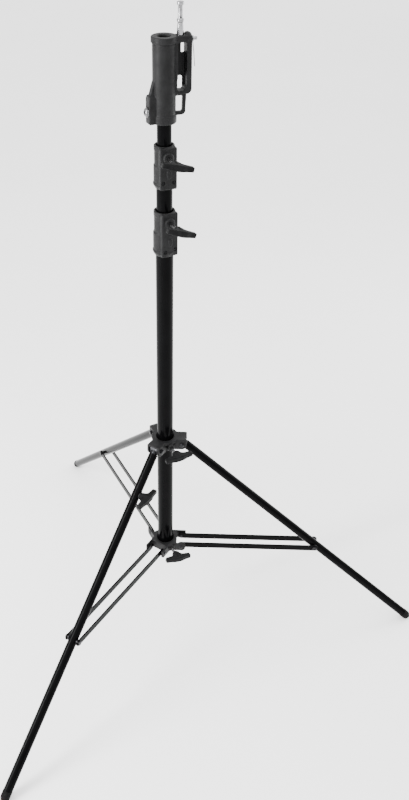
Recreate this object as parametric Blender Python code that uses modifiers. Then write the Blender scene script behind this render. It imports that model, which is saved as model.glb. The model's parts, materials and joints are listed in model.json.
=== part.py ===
"""Two-riser lighting stand with a folding three-leg base, one levelling leg and a socket head.

Metres, +Z up. The stand stands on the floor at z = 0 and the origin is the centre of its
footprint box. +X is the way the head's side bracket points.
"""

import math

import bmesh
import bpy
from mathutils import Vector

# ---- Driving dimensions -------------------------------------------------------------------
GAP = 0.0003
TUBE_WALL = 0.0018

BASE_TUBE_RADIUS = 0.0225
MID_TUBE_RADIUS = 0.0200
TOP_TUBE_RADIUS = 0.0175
BASE_TUBE_SPAN = (0.2750, 1.3460)
MID_TUBE_SPAN = (0.3850, 1.5220)
TOP_TUBE_SPAN = (0.4850, 1.7200)

LEG_AZIMUTHS = {"right": -18.5, "rear": 101.5, "level": -138.5}
LEG_RADIUS = 0.0125
LEG_WALL = 0.0018
LEG_PIVOT_REACH = 0.048
LEG_PIVOT_HEIGHT = 0.687
FOOT_REACH = 0.7655
FOOT_RADIUS = 0.0130
LEG_EYE_RADIUS = 0.0120
LEG_EYE_WIDTH = 0.0240
LEG_TUBE_START = 0.0150
BRACE_JOINT_ALONG_LEG = 0.556
LEVEL_ROD_RADIUS = 0.0102
LEVEL_ROD_LENGTH = 0.480

BRACE_PIVOT_REACH = 0.048
BRACE_PIVOT_HEIGHT = 0.298
BRACE_SIDE = 0.0188
BRACE_THICK = 0.0040
BRACE_TALL = 0.0186
BRACE_PIN_RADIUS = 0.0030
BOLT_RADIUS = 0.0040

COLLAR_BORE = BASE_TUBE_RADIUS + 0.0005
COLLAR_RADIUS = 0.0310
COLLAR_SPAN = (-0.0170, 0.0175)
LOWER_COLLAR_SPAN = (-0.0150, 0.0130)
COLLAR_MOUTH = 0.0030
HOOD_REACH = 0.0620
HOOD_HALF_WIDTH = 0.0200
HOOD_CHANNEL = 0.0136
HOOD_ROOF = 0.0135
EAR_REACH = 0.0620
EAR_SIDES = (0.0245, 0.0300)
EAR_CORNER = 0.0130
HUB_FACE = 0.0345
COLLAR_BOSS_RADIUS = 0.0110
COLLAR_BOSS_REACH = 0.0420
COLLAR_KNOB_AZIMUTH = -78.5

KNOB_SPAN = 0.0820
KNOB_TIP = 0.0145
KNOB_NECK_RADIUS = 0.0100
KNOB_NECK = 0.0150
KNOB_HEIGHT = 0.0310
KNOB_THICK = 0.0170
KNOB_HOLE_DEPTH = 0.0160
COLLAR_KNOB_REACH = 0.0640
CLAMP_KNOB_REACH = 0.0670

HEAD_BOTTOM = 1.6280
HEAD_HEIGHT = 0.1985
SOCKET_RADIUS = 0.0143
SOCKET_FLOOR = 0.1180
STUD_X = 0.0375
STUD_RADIUS = 0.0080
STUD_TOP = 0.2695
LOCK_PIN_HEIGHT = 0.1880
BRACKET_REACH = 0.0625

ROUND = 24
SMALL_ROUND = 14

# A riser clamp: sleeve radii of its lower and upper halves, its two bores, height, screw.
CLAMPS = {
    "base": {
        "bottom": 1.2860, "height": 0.1200, "lower": 0.0286, "upper": 0.0262,
        "outer_tube": BASE_TUBE_RADIUS, "inner_tube": MID_TUBE_RADIUS, "seat": 0.0603,
        "screw": 0.0940, "azimuth": -77.5, "tilt": -21.0, "sides": (-0.0210, 0.0240),
        "set_screws": ((-0.0115, 0.0165), (0.0160, 0.0205)),
    },
    "mid": {
        "bottom": 1.4655, "height": 0.1090, "lower": 0.0262, "upper": 0.0244,
        "outer_tube": MID_TUBE_RADIUS, "inner_tube": TOP_TUBE_RADIUS, "seat": 0.0568,
        "screw": 0.0835, "azimuth": -84.4, "tilt": -15.5, "sides": (-0.0205, 0.0230),
        "set_screws": ((-0.0125, 0.0205), (0.0145, 0.0205)),
    },
}
CLAMP_FACE = 0.0280
CLAMP_RUNNING_FIT = 0.0006
CLAMP_BOSS_RADIUS = 0.0130
CLAMP_BOSS_REACH = 0.0330

# ---- Worked out from the driving dimensions -----------------------------------------------
LEG_RUN = FOOT_REACH - LEG_PIVOT_REACH
LEG_DROP = LEG_PIVOT_HEIGHT - FOOT_RADIUS
LEG_LENGTH = math.hypot(LEG_RUN, LEG_DROP)
LEG_SPREAD = math.atan2(LEG_RUN, LEG_DROP)
JOINT_REACH = LEG_PIVOT_REACH + BRACE_JOINT_ALONG_LEG * math.sin(LEG_SPREAD)
JOINT_HEIGHT = LEG_PIVOT_HEIGHT - BRACE_JOINT_ALONG_LEG * math.cos(LEG_SPREAD)
BRACE_LENGTH = math.hypot(JOINT_REACH - BRACE_PIVOT_REACH, JOINT_HEIGHT - BRACE_PIVOT_HEIGHT)
BRACE_RISE = math.atan2(JOINT_HEIGHT - BRACE_PIVOT_HEIGHT, JOINT_REACH - BRACE_PIVOT_REACH)


def column_place():
    """The column axis, set so that the footprint box is centred on the origin."""
    feet = []
    for azimuth in LEG_AZIMUTHS.values():
        turn = math.radians(azimuth)
        feet.append((FOOT_REACH * math.cos(turn), FOOT_REACH * math.sin(turn)))
    middle = [(min(axis) + max(axis)) / 2 for axis in zip(*feet)]
    return (-middle[0], -middle[1], 0.0)


# ---- Scene and materials ------------------------------------------------------------------
def clear_scene():
    for thing in list(bpy.data.objects):
        bpy.data.objects.remove(thing, do_unlink=True)


def new_collection(name):
    made = bpy.data.collections.new(name)
    bpy.context.scene.collection.children.link(made)
    return made


def material(name, colour, roughness, metallic):
    made = bpy.data.materials.new(name)
    made.use_nodes = True
    shader = made.node_tree.nodes["Principled BSDF"]
    shader.inputs["Base Color"].default_value = (*colour, 1.0)
    shader.inputs["Roughness"].default_value = roughness
    shader.inputs["Metallic"].default_value = metallic
    made.diffuse_color = (*colour, 1.0)
    return made


def finishes():
    return {
        "tube_black": ((0.012, 0.012, 0.013), 0.30, 0.0),
        "casting_grey": ((0.035, 0.036, 0.038), 0.55, 0.0),
        "knob_black": ((0.022, 0.022, 0.023), 0.60, 0.0),
        "rubber_black": ((0.015, 0.015, 0.015), 0.80, 0.0),
        "chrome": ((0.80, 0.80, 0.81), 0.10, 1.0),
        "zinc_steel": ((0.45, 0.45, 0.46), 0.30, 1.0),
        "black_steel": ((0.030, 0.030, 0.032), 0.35, 1.0),
        "brass": ((0.60, 0.43, 0.20), 0.35, 1.0),
        "nylon": ((0.60, 0.60, 0.57), 0.50, 0.0),
    }


clear_scene()
PARTS = new_collection("lighting_stand")
CUTTERS = new_collection("cutters")


def frame(name, parent=None, place=(0, 0, 0), turn=(0, 0, 0)):
    """An empty that pieces are placed in; turn is in degrees about X, Y and Z."""
    made = bpy.data.objects.new(name, None)
    PARTS.objects.link(made)
    made.parent = parent
    made.location = place
    made.rotation_euler = [math.radians(angle) for angle in turn]
    return made


def add(name, mesh, parent, place=(0, 0, 0), turn=(0, 0, 0)):
    made = bpy.data.objects.new(name, mesh)
    PARTS.objects.link(made)
    made.parent = parent
    made.location = place
    made.rotation_euler = [math.radians(angle) for angle in turn]
    return made


def finish(part, slot):
    """Gives a sub-part its own material, and shades its round faces smooth."""
    if any(step.type == "BOOLEAN" for step in part.modifiers):
        weld = part.modifiers.new("weld", "WELD")
        weld.merge_threshold = 0.00001
    colour, roughness, metallic = finishes()[slot]
    part.data.materials.clear()
    part.data.materials.append(material(f"{part.name}_{slot}", colour, roughness, metallic))
    part.data.shade_smooth()
    part.data.set_sharp_from_angle(angle=math.radians(35))
    return part


# ---- Shapes -------------------------------------------------------------------------------
def turned(name, profile, parent, place=(0, 0, 0), turn=(0, 0, 0), steps=ROUND, closed=False):
    """A turned piece: (radius, height) points down the outer side, about local Z."""
    mesh = bpy.data.meshes.new(name)
    shape = bmesh.new()
    points = [shape.verts.new((radius, 0.0, height)) for radius, height in profile]
    for first, second in zip(points, points[1:]):
        shape.edges.new((first, second))
    if closed:
        shape.edges.new((points[-1], points[0]))
    shape.to_mesh(mesh)
    shape.free()
    part = add(name, mesh, parent, place, turn)
    screw = part.modifiers.new("turn", "SCREW")
    screw.steps = steps
    screw.render_steps = steps
    screw.use_merge_vertices = True
    screw.merge_threshold = 0.00002
    screw.use_smooth_shade = True
    return part


def ring(name, outer, inner, low, high, parent, place=(0, 0, 0), turn=(0, 0, 0), steps=ROUND):
    """A tube with square ends."""
    profile = [(inner, high), (outer, high), (outer, low), (inner, low)]
    return turned(name, profile, parent, place, turn, steps, closed=True)


def rod(name, radius, low, high, parent, place=(0, 0, 0), turn=(0, 0, 0), steps=SMALL_ROUND,
        edge=0.0):
    """A round bar along local Z with optional broken edges."""
    profile = [(0.0, high), (radius - edge, high)]
    if edge:
        profile += [(radius, high - edge), (radius, low + edge)]
        profile += [(radius - edge, low), (0.0, low)]
    else:
        profile += [(radius, low), (0.0, low)]
    return turned(name, profile, parent, place, turn, steps)


def block(name, low, high, parent, place=(0, 0, 0), turn=(0, 0, 0), bevel=0.0, segments=2):
    """A box between two corners, with its edges rounded."""
    mesh = bpy.data.meshes.new(name)
    shape = bmesh.new()
    bmesh.ops.create_cube(shape, size=1.0)
    low, high = Vector(low), Vector(high)
    size = high - low
    middle = (high + low) / 2
    for vert in shape.verts:
        vert.co = Vector([vert.co[i] * size[i] + middle[i] for i in range(3)])
    shape.to_mesh(mesh)
    shape.free()
    part = add(name, mesh, parent, place, turn)
    if bevel:
        round_edges(part, bevel, segments)
    return part


def plate(name, outline, low, high, parent, place=(0, 0, 0), turn=(0, 0, 0), bevel=0.0,
          segments=2, angle=30.0):
    """A flat outline in the local XY plane, given thickness from low to high along local Z."""
    mesh = bpy.data.meshes.new(name)
    shape = bmesh.new()
    face = shape.faces.new([shape.verts.new((x, y, low)) for x, y in outline])
    bmesh.ops.recalc_face_normals(shape, faces=[face])
    grown = bmesh.ops.extrude_face_region(shape, geom=[face])
    for vert in grown["geom"]:
        if isinstance(vert, bmesh.types.BMVert):
            vert.co.z = high
    bmesh.ops.recalc_face_normals(shape, faces=shape.faces)
    shape.to_mesh(mesh)
    shape.free()
    part = add(name, mesh, parent, place, turn)
    if bevel:
        round_edges(part, bevel, segments, angle)
    return part


def round_edges(part, width, segments=2, angle=30.0):
    bevel = part.modifiers.new("edges", "BEVEL")
    bevel.width = width
    bevel.segments = segments
    bevel.limit_method = "ANGLE"
    bevel.angle_limit = math.radians(angle)
    return bevel


def arc(centre, radius, start, end, count):
    """Points on an arc in the XY plane, from start to end degrees."""
    points = []
    for step in range(count + 1):
        turn = math.radians(start + (end - start) * step / count)
        points.append((centre[0] + radius * math.cos(turn), centre[1] + radius * math.sin(turn)))
    return points


def combine(part, tool, operation):
    """Joins a tool to a part, or cuts it away, and files the tool with the cutters."""
    step = part.modifiers.new(tool.name, "BOOLEAN")
    step.operation = operation
    step.solver = "EXACT"
    step.object = tool
    PARTS.objects.unlink(tool)
    CUTTERS.objects.link(tool)
    tool.hide_render = True
    tool.display_type = "WIRE"
    return part


def cut(part, *tools):
    for tool in tools:
        combine(part, tool, "DIFFERENCE")
    return part


def join(part, *tools):
    for tool in tools:
        combine(part, tool, "UNION")
    return part


# ---- Tubes of the column ------------------------------------------------------------------
def column_tubes(axis):
    spans = {
        "base_tube": (BASE_TUBE_RADIUS, BASE_TUBE_SPAN),
        "mid_tube": (MID_TUBE_RADIUS, MID_TUBE_SPAN),
        "top_tube": (TOP_TUBE_RADIUS, TOP_TUBE_SPAN),
    }
    for name, (radius, (low, high)) in spans.items():
        tube = ring(name, radius, radius - TUBE_WALL, 0.0, high - low, axis, (0, 0, low))
        finish(tube, "tube_black")


def tube_plug(name, tube_radius, flange_radius, hole_radius, depth, axis, height, slot):
    """A stepped plug in a tube's lower end; its flange sits just below the tube."""
    spigot = tube_radius - TUBE_WALL - GAP
    profile = [(hole_radius, depth), (spigot, depth), (spigot, -GAP), (flange_radius, -GAP)]
    profile += [(flange_radius, -0.005), (flange_radius - 0.001, -0.006), (hole_radius, -0.006)]
    part = turned(name, profile, axis, (0, 0, height), steps=ROUND, closed=True)
    return finish(part, slot)


def tube_plugs(axis):
    tube_plug("base_tube_end_plug", BASE_TUBE_RADIUS, BASE_TUBE_RADIUS - 0.0005, 0.008, 0.022,
              axis, BASE_TUBE_SPAN[0], "rubber_black")
    guide = BASE_TUBE_RADIUS - TUBE_WALL - 0.0004
    tube_plug("mid_tube_guide", MID_TUBE_RADIUS, guide, 0.013, 0.020, axis, MID_TUBE_SPAN[0],
              "nylon")
    guide = MID_TUBE_RADIUS - TUBE_WALL - 0.0004
    tube_plug("top_tube_guide", TOP_TUBE_RADIUS, guide, 0.011, 0.020, axis, TOP_TUBE_SPAN[0],
              "nylon")


# ---- Wing knobs and their screws ----------------------------------------------------------
def wing_outline():
    """The wing's outline: local X along the wing, local Y along the screw, outwards."""
    half = KNOB_SPAN / 2
    under = KNOB_HEIGHT - KNOB_TIP - 0.0025
    tip_top = KNOB_HEIGHT - 0.0035
    fillet = 0.011
    start = under - fillet
    side = [(KNOB_NECK_RADIUS - 0.0012, start - 0.001)]
    side += [(x, y) for x, y in arc((KNOB_NECK_RADIUS + fillet, start), fillet, 180, 90, 4)]
    side += [(half - 0.0010, under + 0.0004), (half, tip_top)]
    side += [(half * 0.60, KNOB_HEIGHT - 0.0030), (half * 0.28, KNOB_HEIGHT - 0.0002)]
    mirrored = [(-x, y) for x, y in reversed(side)]
    return side + [(0.0, KNOB_HEIGHT)] + mirrored


def wing_knob(name, hub):
    """A wing knob whose screw runs along the hub frame's Z, with its neck's face at z = 0."""
    mesh_part = plate(name, wing_outline(), -0.5, 0.5, hub, (0, 0, 0), (0, 0, 0))
    for vert in mesh_part.data.vertices:
        along = min(1.0, abs(vert.co.x) / (KNOB_SPAN / 2))
        thick = KNOB_THICK * (1.0 - 0.30 * along**1.3)
        vert.co = (vert.co.x, -vert.co.z * thick, vert.co.y)
    round_edges(mesh_part, 0.0022, 1, 40)
    neck = turned(f"{name}_neck", [(0.0, KNOB_NECK + 0.006), (0.0078, KNOB_NECK + 0.006),
                                   (KNOB_NECK_RADIUS, KNOB_NECK - 0.004),
                                   (KNOB_NECK_RADIUS, 0.0012), (KNOB_NECK_RADIUS - 0.0012, 0.0),
                                   (0.0, 0.0)], hub, steps=SMALL_ROUND)
    hole = rod(f"{name}_hole", BOLT_RADIUS + GAP, -0.01, KNOB_HOLE_DEPTH, hub)
    join(mesh_part, neck)
    cut(mesh_part, hole)
    return finish(mesh_part, "knob_black")


def knob_screw(name, hub, inner_end):
    """The clamping screw, from inner_end (negative) to just short of the knob's blind hole."""
    return finish(rod(name, BOLT_RADIUS, inner_end, KNOB_HOLE_DEPTH - GAP, hub, edge=0.0006),
                  "zinc_steel")


def radial_hub(name, axis, azimuth, reach, height, tilt):
    """A frame whose Z points out from the column; tilt turns a level wing about the screw."""
    spoke = frame(f"{name}_spoke", axis, (0, 0, 0), (0, 0, azimuth))
    seat = frame(f"{name}_seat", spoke, (reach, 0, height), (0, 90, 0))
    return frame(f"{name}_hub", seat, (0, 0, 0), (0, 0, 90 + tilt))


# ---- Riser clamps -------------------------------------------------------------------------
def clamp_block(name, data, spoke):
    """The flat-faced block that carries the screw, with its outer edges well rounded."""
    right, left = data["sides"]
    return block(name, (0.002, right, 0.0020), (CLAMP_FACE, left, data["height"] - 0.0015),
                 spoke, bevel=0.0034, segments=2)


def clamp_sleeve(name, data, spoke):
    """The round sleeve: a band at each end and a step half way, where the tubes change."""
    height, lower, upper = data["height"], data["lower"], data["upper"]
    seat = data["seat"]
    profile = [
        (0.0, height), (upper - 0.0008, height), (upper + 0.0009, height - 0.0018),
        (upper + 0.0009, height - 0.0125), (upper, height - 0.0135), (upper, seat + 0.0040),
        (lower, seat + 0.0015), (lower, 0.0160), (lower + 0.0014, 0.0145),
        (lower + 0.0014, 0.0100), (data["outer_tube"] + 0.0022, 0.0), (0.0, 0.0),
    ]
    return turned(name, profile, spoke, steps=24)


def clamp_bore(name, data, spoke):
    """The stepped bore: a seat round the lower tube and a running fit on the upper one."""
    low = data["outer_tube"] + GAP
    high = data["inner_tube"] + CLAMP_RUNNING_FIT
    seat = data["seat"] + GAP
    top = data["height"]
    profile = [
        (0.0, top + 0.010), (high + 0.0025, top + 0.010), (high + 0.0025, top),
        (high, top - 0.0060), (high, seat), (low, seat), (low, -0.010), (0.0, -0.010),
    ]
    return turned(name, profile, spoke, steps=24)


def riser_clamp(kind, data, axis):
    spoke = frame(f"{kind}_clamp_spoke", axis, (0, 0, data["bottom"]), (0, 0, data["azimuth"]))
    name = f"{kind}_clamp"
    casting = clamp_sleeve(name, data, spoke)
    screw_height = data["screw"]
    bore_high = data["inner_tube"] + CLAMP_RUNNING_FIT
    boss_place = (0, 0, screw_height)
    boss = rod(f"{name}_boss", CLAMP_BOSS_RADIUS, 0.020, CLAMP_BOSS_REACH, spoke, boss_place,
               (0, 90, 0), steps=20, edge=0.0020)
    oval = arc((0.0, 0.0055), 0.0060, 0, 180, 5) + arc((0.0, -0.0055), 0.0048, 180, 360, 5)
    rib = plate(f"{name}_rib", oval, 0.020, CLAMP_FACE + 0.0026, spoke,
                (0, 0.0015, 0.0410), (90, 0, 90), bevel=0.0014, segments=1)
    solid_block = clamp_block(f"{name}_block", data, spoke)
    bore = clamp_bore(f"{name}_bore", data, spoke)
    pad_end = bore_high + 0.0048
    screw_hole = turned(f"{name}_screw_hole", [
        (0.0, 0.050), (BOLT_RADIUS + GAP, 0.050), (BOLT_RADIUS + GAP, pad_end),
        (0.0063, pad_end), (0.0063, 0.013), (0.0, 0.013),
    ], spoke, boss_place, (0, 90, 0), steps=SMALL_ROUND)
    join(casting, solid_block, boss, rib)
    cut(casting, screw_hole)
    for side, (lateral, height) in zip(("left", "right"), data["set_screws"]):
        place = (0, lateral, height)
        recess = CLAMP_FACE - 0.0025
        hole = turned(f"{name}_set_hole_{side}", [
            (0.0, 0.050), (0.0048, 0.050), (0.0048, recess), (0.0033, recess),
            (0.0033, 0.011), (0.0, 0.011),
        ], spoke, place, (0, 90, 0), steps=12)
        cut(casting, hole)
        inner = math.sqrt((data["outer_tube"] + GAP)**2 - (abs(lateral) - 0.0030)**2)
        set_screw = turned(f"{name}_set_screw_{side}",
                           [(0.0, CLAMP_FACE - 0.0032), (0.0016, CLAMP_FACE - 0.0032),
                            (0.0016, CLAMP_FACE - 0.0005), (0.0030, CLAMP_FACE - 0.0008),
                            (0.0030, inner + 0.0002), (0.0, inner + 0.0002)],
                           spoke, place, (0, 90, 0), steps=12)
        finish(set_screw, "black_steel")
    cut(casting, bore)
    finish(casting, "casting_grey")
    pad_inner = data["inner_tube"] + GAP
    pad = rod(f"{name}_pad", 0.0058, pad_inner, bore_high + 0.0042, spoke, boss_place,
              (0, 90, 0))
    finish(pad, "brass")
    hub = radial_hub(name, axis, data["azimuth"], CLAMP_KNOB_REACH,
                     data["bottom"] + screw_height, data["tilt"])
    wing_knob(f"{name}_knob", hub)
    knob_screw(f"{name}_screw", hub, bore_high + 0.0045 - CLAMP_KNOB_REACH)


# ---- Collars ------------------------------------------------------------------------------
def collar_screw_boss(name, axis, height):
    spoke = frame(f"{name}_boss_spoke", axis, (0, 0, 0), (0, 0, COLLAR_KNOB_AZIMUTH))
    boss = rod(f"{name}_boss", COLLAR_BOSS_RADIUS, 0.025, COLLAR_BOSS_REACH, spoke,
               (0, 0, height), (0, 90, 0), steps=20, edge=0.0015)
    hole = rod(f"{name}_screw_hole", BOLT_RADIUS + GAP, 0.0, 0.06, spoke, (0, 0, height),
               (0, 90, 0))
    return boss, hole


def collar_bore(name, low, high, level):
    """The collar's bore on the base tube, opened out at its top."""
    mouth = COLLAR_BORE + COLLAR_MOUTH
    profile = [
        (0.0, high + 0.010), (mouth, high + 0.010), (mouth, high),
        (COLLAR_BORE, high - COLLAR_MOUTH), (COLLAR_BORE, low - 0.010), (0.0, low - 0.010),
    ]
    return turned(f"{name}_bore", profile, level, steps=24)


def hood_outline():
    """Side view of a leg hood: roof, rounded nose and a cheek rounded about the pivot."""
    low, high = COLLAR_SPAN
    points = [(0.026, high), (HOOD_REACH - 0.002, high), (HOOD_REACH, high - 0.002)]
    points += arc((HOOD_REACH - 0.015, -0.002), 0.015, 0, -90, 6)
    points += [(0.026, low)]
    return points


def hood_channel_outline():
    """Side view of the room for a leg: open outwards and downwards, under the roof."""
    back = LEG_PIVOT_REACH - LEG_EYE_RADIUS - 0.0017
    return [(back, HOOD_ROOF), (0.080, HOOD_ROOF), (0.080, -0.040), (back, -0.040)]


def upper_collar(axis):
    name = "upper_collar"
    low, high = COLLAR_SPAN
    level = frame("upper_collar_level", axis, (0, 0, LEG_PIVOT_HEIGHT))
    flange = 0.0385
    profile = [
        (0.0, high), (flange - 0.0015, high), (flange, high - 0.0015),
        (flange, high - 0.0070), (COLLAR_RADIUS, high - 0.0100), (COLLAR_RADIUS, low + 0.0015),
        (COLLAR_RADIUS - 0.0015, low), (0.0, low),
    ]
    casting = turned(name, profile, level, steps=24)
    boss, hole = collar_screw_boss(name, level, 0.0)
    join(casting, boss)
    channels = []
    for leg, azimuth in LEG_AZIMUTHS.items():
        spoke = frame(f"{name}_{leg}_spoke", level, (0, 0, 0), (0, 0, azimuth))
        # The outlines are drawn in X and Z, so they are stood up about X.
        hood = plate(f"{name}_{leg}_hood", hood_outline(), -HOOD_HALF_WIDTH, HOOD_HALF_WIDTH,
                     spoke, (0, 0, 0), (90, 0, 0), bevel=0.0015, segments=2, angle=50)
        channel = plate(f"{name}_{leg}_channel", hood_channel_outline(), -HOOD_CHANNEL,
                        HOOD_CHANNEL, spoke, (0, 0, 0), (90, 0, 0))
        bolt_hole = rod(f"{name}_{leg}_bolt_hole", BOLT_RADIUS + GAP, -0.03, 0.03, spoke,
                        (LEG_PIVOT_REACH, 0, 0), (90, 0, 0))
        join(casting, hood)
        channels += [channel, bolt_hole]
    cut(casting, *channels, hole, collar_bore(name, low, high, level))
    finish(casting, "casting_grey")


def lower_collar_outline():
    """Plan view: a hub with a flat towards each leg and an ear on each side of the flat."""
    inner, outer = EAR_SIDES
    notch = outer / math.tan(math.radians(60))
    corners = [
        (notch, -outer), (EAR_REACH, -outer), (EAR_REACH, -inner), (HUB_FACE, -inner),
        (HUB_FACE, inner), (EAR_REACH, inner), (EAR_REACH, outer),
    ]
    points = []
    for azimuth in sorted(LEG_AZIMUTHS.values()):
        turn = math.radians(azimuth)
        for along, across in corners:
            points.append((along * math.cos(turn) - across * math.sin(turn),
                           along * math.sin(turn) + across * math.cos(turn)))
    return points


def lower_collar(axis):
    name = "lower_collar"
    low, high = LOWER_COLLAR_SPAN
    level = frame("lower_collar_level", axis, (0, 0, BRACE_PIVOT_HEIGHT))
    casting = plate(name, lower_collar_outline(), low, high, level, bevel=0.0012,
                    segments=1, angle=50)
    boss, hole = collar_screw_boss(name, level, 0.0)
    join(casting, boss)
    cuts = []
    for leg, azimuth in LEG_AZIMUTHS.items():
        spoke = frame(f"{name}_{leg}_spoke", level, (0, 0, 0), (0, 0, azimuth))
        centre = (EAR_REACH - EAR_CORNER, low + EAR_CORNER)
        corner = arc(centre, EAR_CORNER, -90, 0, 4)
        corner += [(EAR_REACH + 0.005, centre[1]), (EAR_REACH + 0.005, low - 0.005),
                   (centre[0], low - 0.005)]
        below = plate(f"{name}_{leg}_corner", corner, -0.035, 0.035, spoke, (0, 0, 0),
                      (90, 0, 0))
        pin_hole = rod(f"{name}_{leg}_pin_hole", BRACE_PIN_RADIUS + GAP, -0.040, 0.040, spoke,
                       (BRACE_PIVOT_REACH, 0, 0), (90, 0, 0), steps=12)
        cuts += [below, pin_hole]
    cut(casting, *cuts, hole, collar_bore(name, low, high, level))
    finish(casting, "casting_grey")


def collar_knobs(axis):
    for name, height, tilt in (("upper_collar", LEG_PIVOT_HEIGHT, 0.0),
                               ("lower_collar", BRACE_PIVOT_HEIGHT, -10.0)):
        hub = radial_hub(name, axis, COLLAR_KNOB_AZIMUTH, COLLAR_KNOB_REACH, height, tilt)
        wing_knob(f"{name}_knob", hub)
        knob_screw(f"{name}_screw", hub, BASE_TUBE_RADIUS + GAP - COLLAR_KNOB_REACH)


# ---- Legs ---------------------------------------------------------------------------------
def leg_frame(leg, axis):
    """Origin on the leg's top pivot, +X down the leg, Y along the pivot, Z up and out."""
    spoke = frame(f"{leg}_leg_spoke", axis, (0, 0, 0), (0, 0, LEG_AZIMUTHS[leg]))
    return frame(f"{leg}_leg_line", spoke, (LEG_PIVOT_REACH, 0, LEG_PIVOT_HEIGHT),
                 (0, 90 - math.degrees(LEG_SPREAD), 0))


def leg_eye(name, spigot_radius, spigot_end, line):
    """The round eye on the pivot with a spigot down the leg."""
    eye = rod(name, LEG_EYE_RADIUS, -LEG_EYE_WIDTH / 2, LEG_EYE_WIDTH / 2, line, (0, 0, 0),
              (90, 0, 0), steps=20, edge=0.0010)
    spigot = rod(f"{name}_spigot", spigot_radius, 0.004, spigot_end, line, (0, 0, 0),
                 (0, 90, 0), steps=20)
    hole = rod(f"{name}_hole", BOLT_RADIUS + GAP, -0.02, 0.02, line, (0, 0, 0), (90, 0, 0))
    join(eye, spigot)
    cut(eye, hole)
    return finish(eye, "casting_grey" if spigot_end < 0.1 else "black_steel")


def leg_tube(name, line):
    """The leg's tube, drilled across for the brace bolt."""
    tube = ring(name, LEG_RADIUS, LEG_RADIUS - LEG_WALL, LEG_TUBE_START, LEG_LENGTH - 0.016,
                line, (0, 0, 0), (0, 90, 0), steps=20)
    hole = rod(f"{name}_bolt_hole", BOLT_RADIUS + GAP, -0.02, 0.02, line,
               (BRACE_JOINT_ALONG_LEG, 0, 0), (90, 0, 0))
    cut(tube, hole)
    return tube


def leg_foot(name, line):
    """A round-ended cap whose spigot plugs the tube's lower end."""
    end = LEG_LENGTH - 0.016
    spigot = LEG_RADIUS - LEG_WALL - GAP
    profile = [(0.0, -0.028), (spigot, -0.028), (spigot, GAP), (FOOT_RADIUS, GAP)]
    dome = [(radius, height) for height, radius in arc((0.016, 0.0), FOOT_RADIUS, 90, 0, 4)]
    profile += dome[:-1] + [(0.0, 0.016 + FOOT_RADIUS)]
    profile = [(radius, -height) for radius, height in profile]
    foot = turned(name, profile, line, (end, 0, 0), (0, -90, 0), steps=20)
    return finish(foot, "rubber_black")


def pivot_bolt(name, line):
    """The top pivot's bolt with its head and lock nut outside the hood's cheeks."""
    cheek = HOOD_HALF_WIDTH + GAP
    profile = [(0.0, cheek + 0.0040), (0.0048, cheek + 0.0040), (0.0066, cheek + 0.0026),
               (0.0070, cheek), (BOLT_RADIUS, cheek), (BOLT_RADIUS, -cheek), (0.0066, -cheek),
               (0.0066, -cheek - 0.0045), (0.0045, -cheek - 0.0055), (0.0, -cheek - 0.0055)]
    return finish(turned(name, profile, line, (0, 0, 0), (90, 0, 0), steps=12), "black_steel")


def brace_bolt(name, line):
    """The brace bolt's shaft through the leg, with the spacers that hold the bars off it."""
    near = LEG_RADIUS + GAP
    far = BRACE_SIDE - BRACE_THICK / 2 - 0.0004
    profile = [(0.0, far), (0.0070, far), (0.0070, near), (BOLT_RADIUS, near),
               (BOLT_RADIUS, -near), (0.0070, -near), (0.0070, -far), (0.0, -far)]
    place = (BRACE_JOINT_ALONG_LEG, 0, 0)
    return finish(turned(name, profile, line, place, (90, 0, 0), steps=12), "black_steel")


def plain_leg(leg, axis):
    line = leg_frame(leg, axis)
    finish(leg_tube(f"{leg}_leg_tube", line), "tube_black")
    leg_eye(f"{leg}_leg_eye", LEG_RADIUS - LEG_WALL - GAP, 0.050, line)
    leg_foot(f"{leg}_foot", line)
    pivot_bolt(f"{leg}_pivot_bolt", line)
    brace_bolt(f"{leg}_brace_bolt", line)


def levelling_leg(axis):
    """The leg whose tube slides along an inner rod and is held by a wing knob."""
    leg = "level"
    line = leg_frame(leg, axis)
    knob_along = 0.1357
    boss_end = LEG_RADIUS + 0.0025
    tube = leg_tube("level_leg_tube", line)
    boss = rod("level_leg_boss", 0.0085, LEG_RADIUS - 0.0012, boss_end, line,
               (knob_along, 0, 0), (-90, 0, 0), edge=0.0006)
    inside = rod("level_leg_inside", LEG_RADIUS - LEG_WALL, 0.0, 0.3, line, (0, 0, 0),
                 (0, 90, 0), steps=20)
    screw_hole = rod("level_leg_screw_hole", BOLT_RADIUS + GAP, 0.0, 0.04, line,
                     (knob_along, 0, 0), (-90, 0, 0))
    join(tube, boss)
    cut(tube, inside, screw_hole)
    finish(tube, "tube_black")
    leg_eye("level_leg_rod", LEVEL_ROD_RADIUS, LEVEL_ROD_LENGTH, line)
    leg_foot("level_foot", line)
    pivot_bolt("level_pivot_bolt", line)
    brace_bolt("level_brace_bolt", line)
    seat = frame("level_knob_seat", line, (knob_along, boss_end + GAP, 0), (-90, 0, 0))
    hub = frame("level_knob_hub", seat, (0, 0, 0), (0, 0, math.degrees(LEG_SPREAD) - 90))
    wing_knob("level_leg_knob", hub)
    knob_screw("level_leg_screw", hub, LEVEL_ROD_RADIUS - boss_end)


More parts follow.
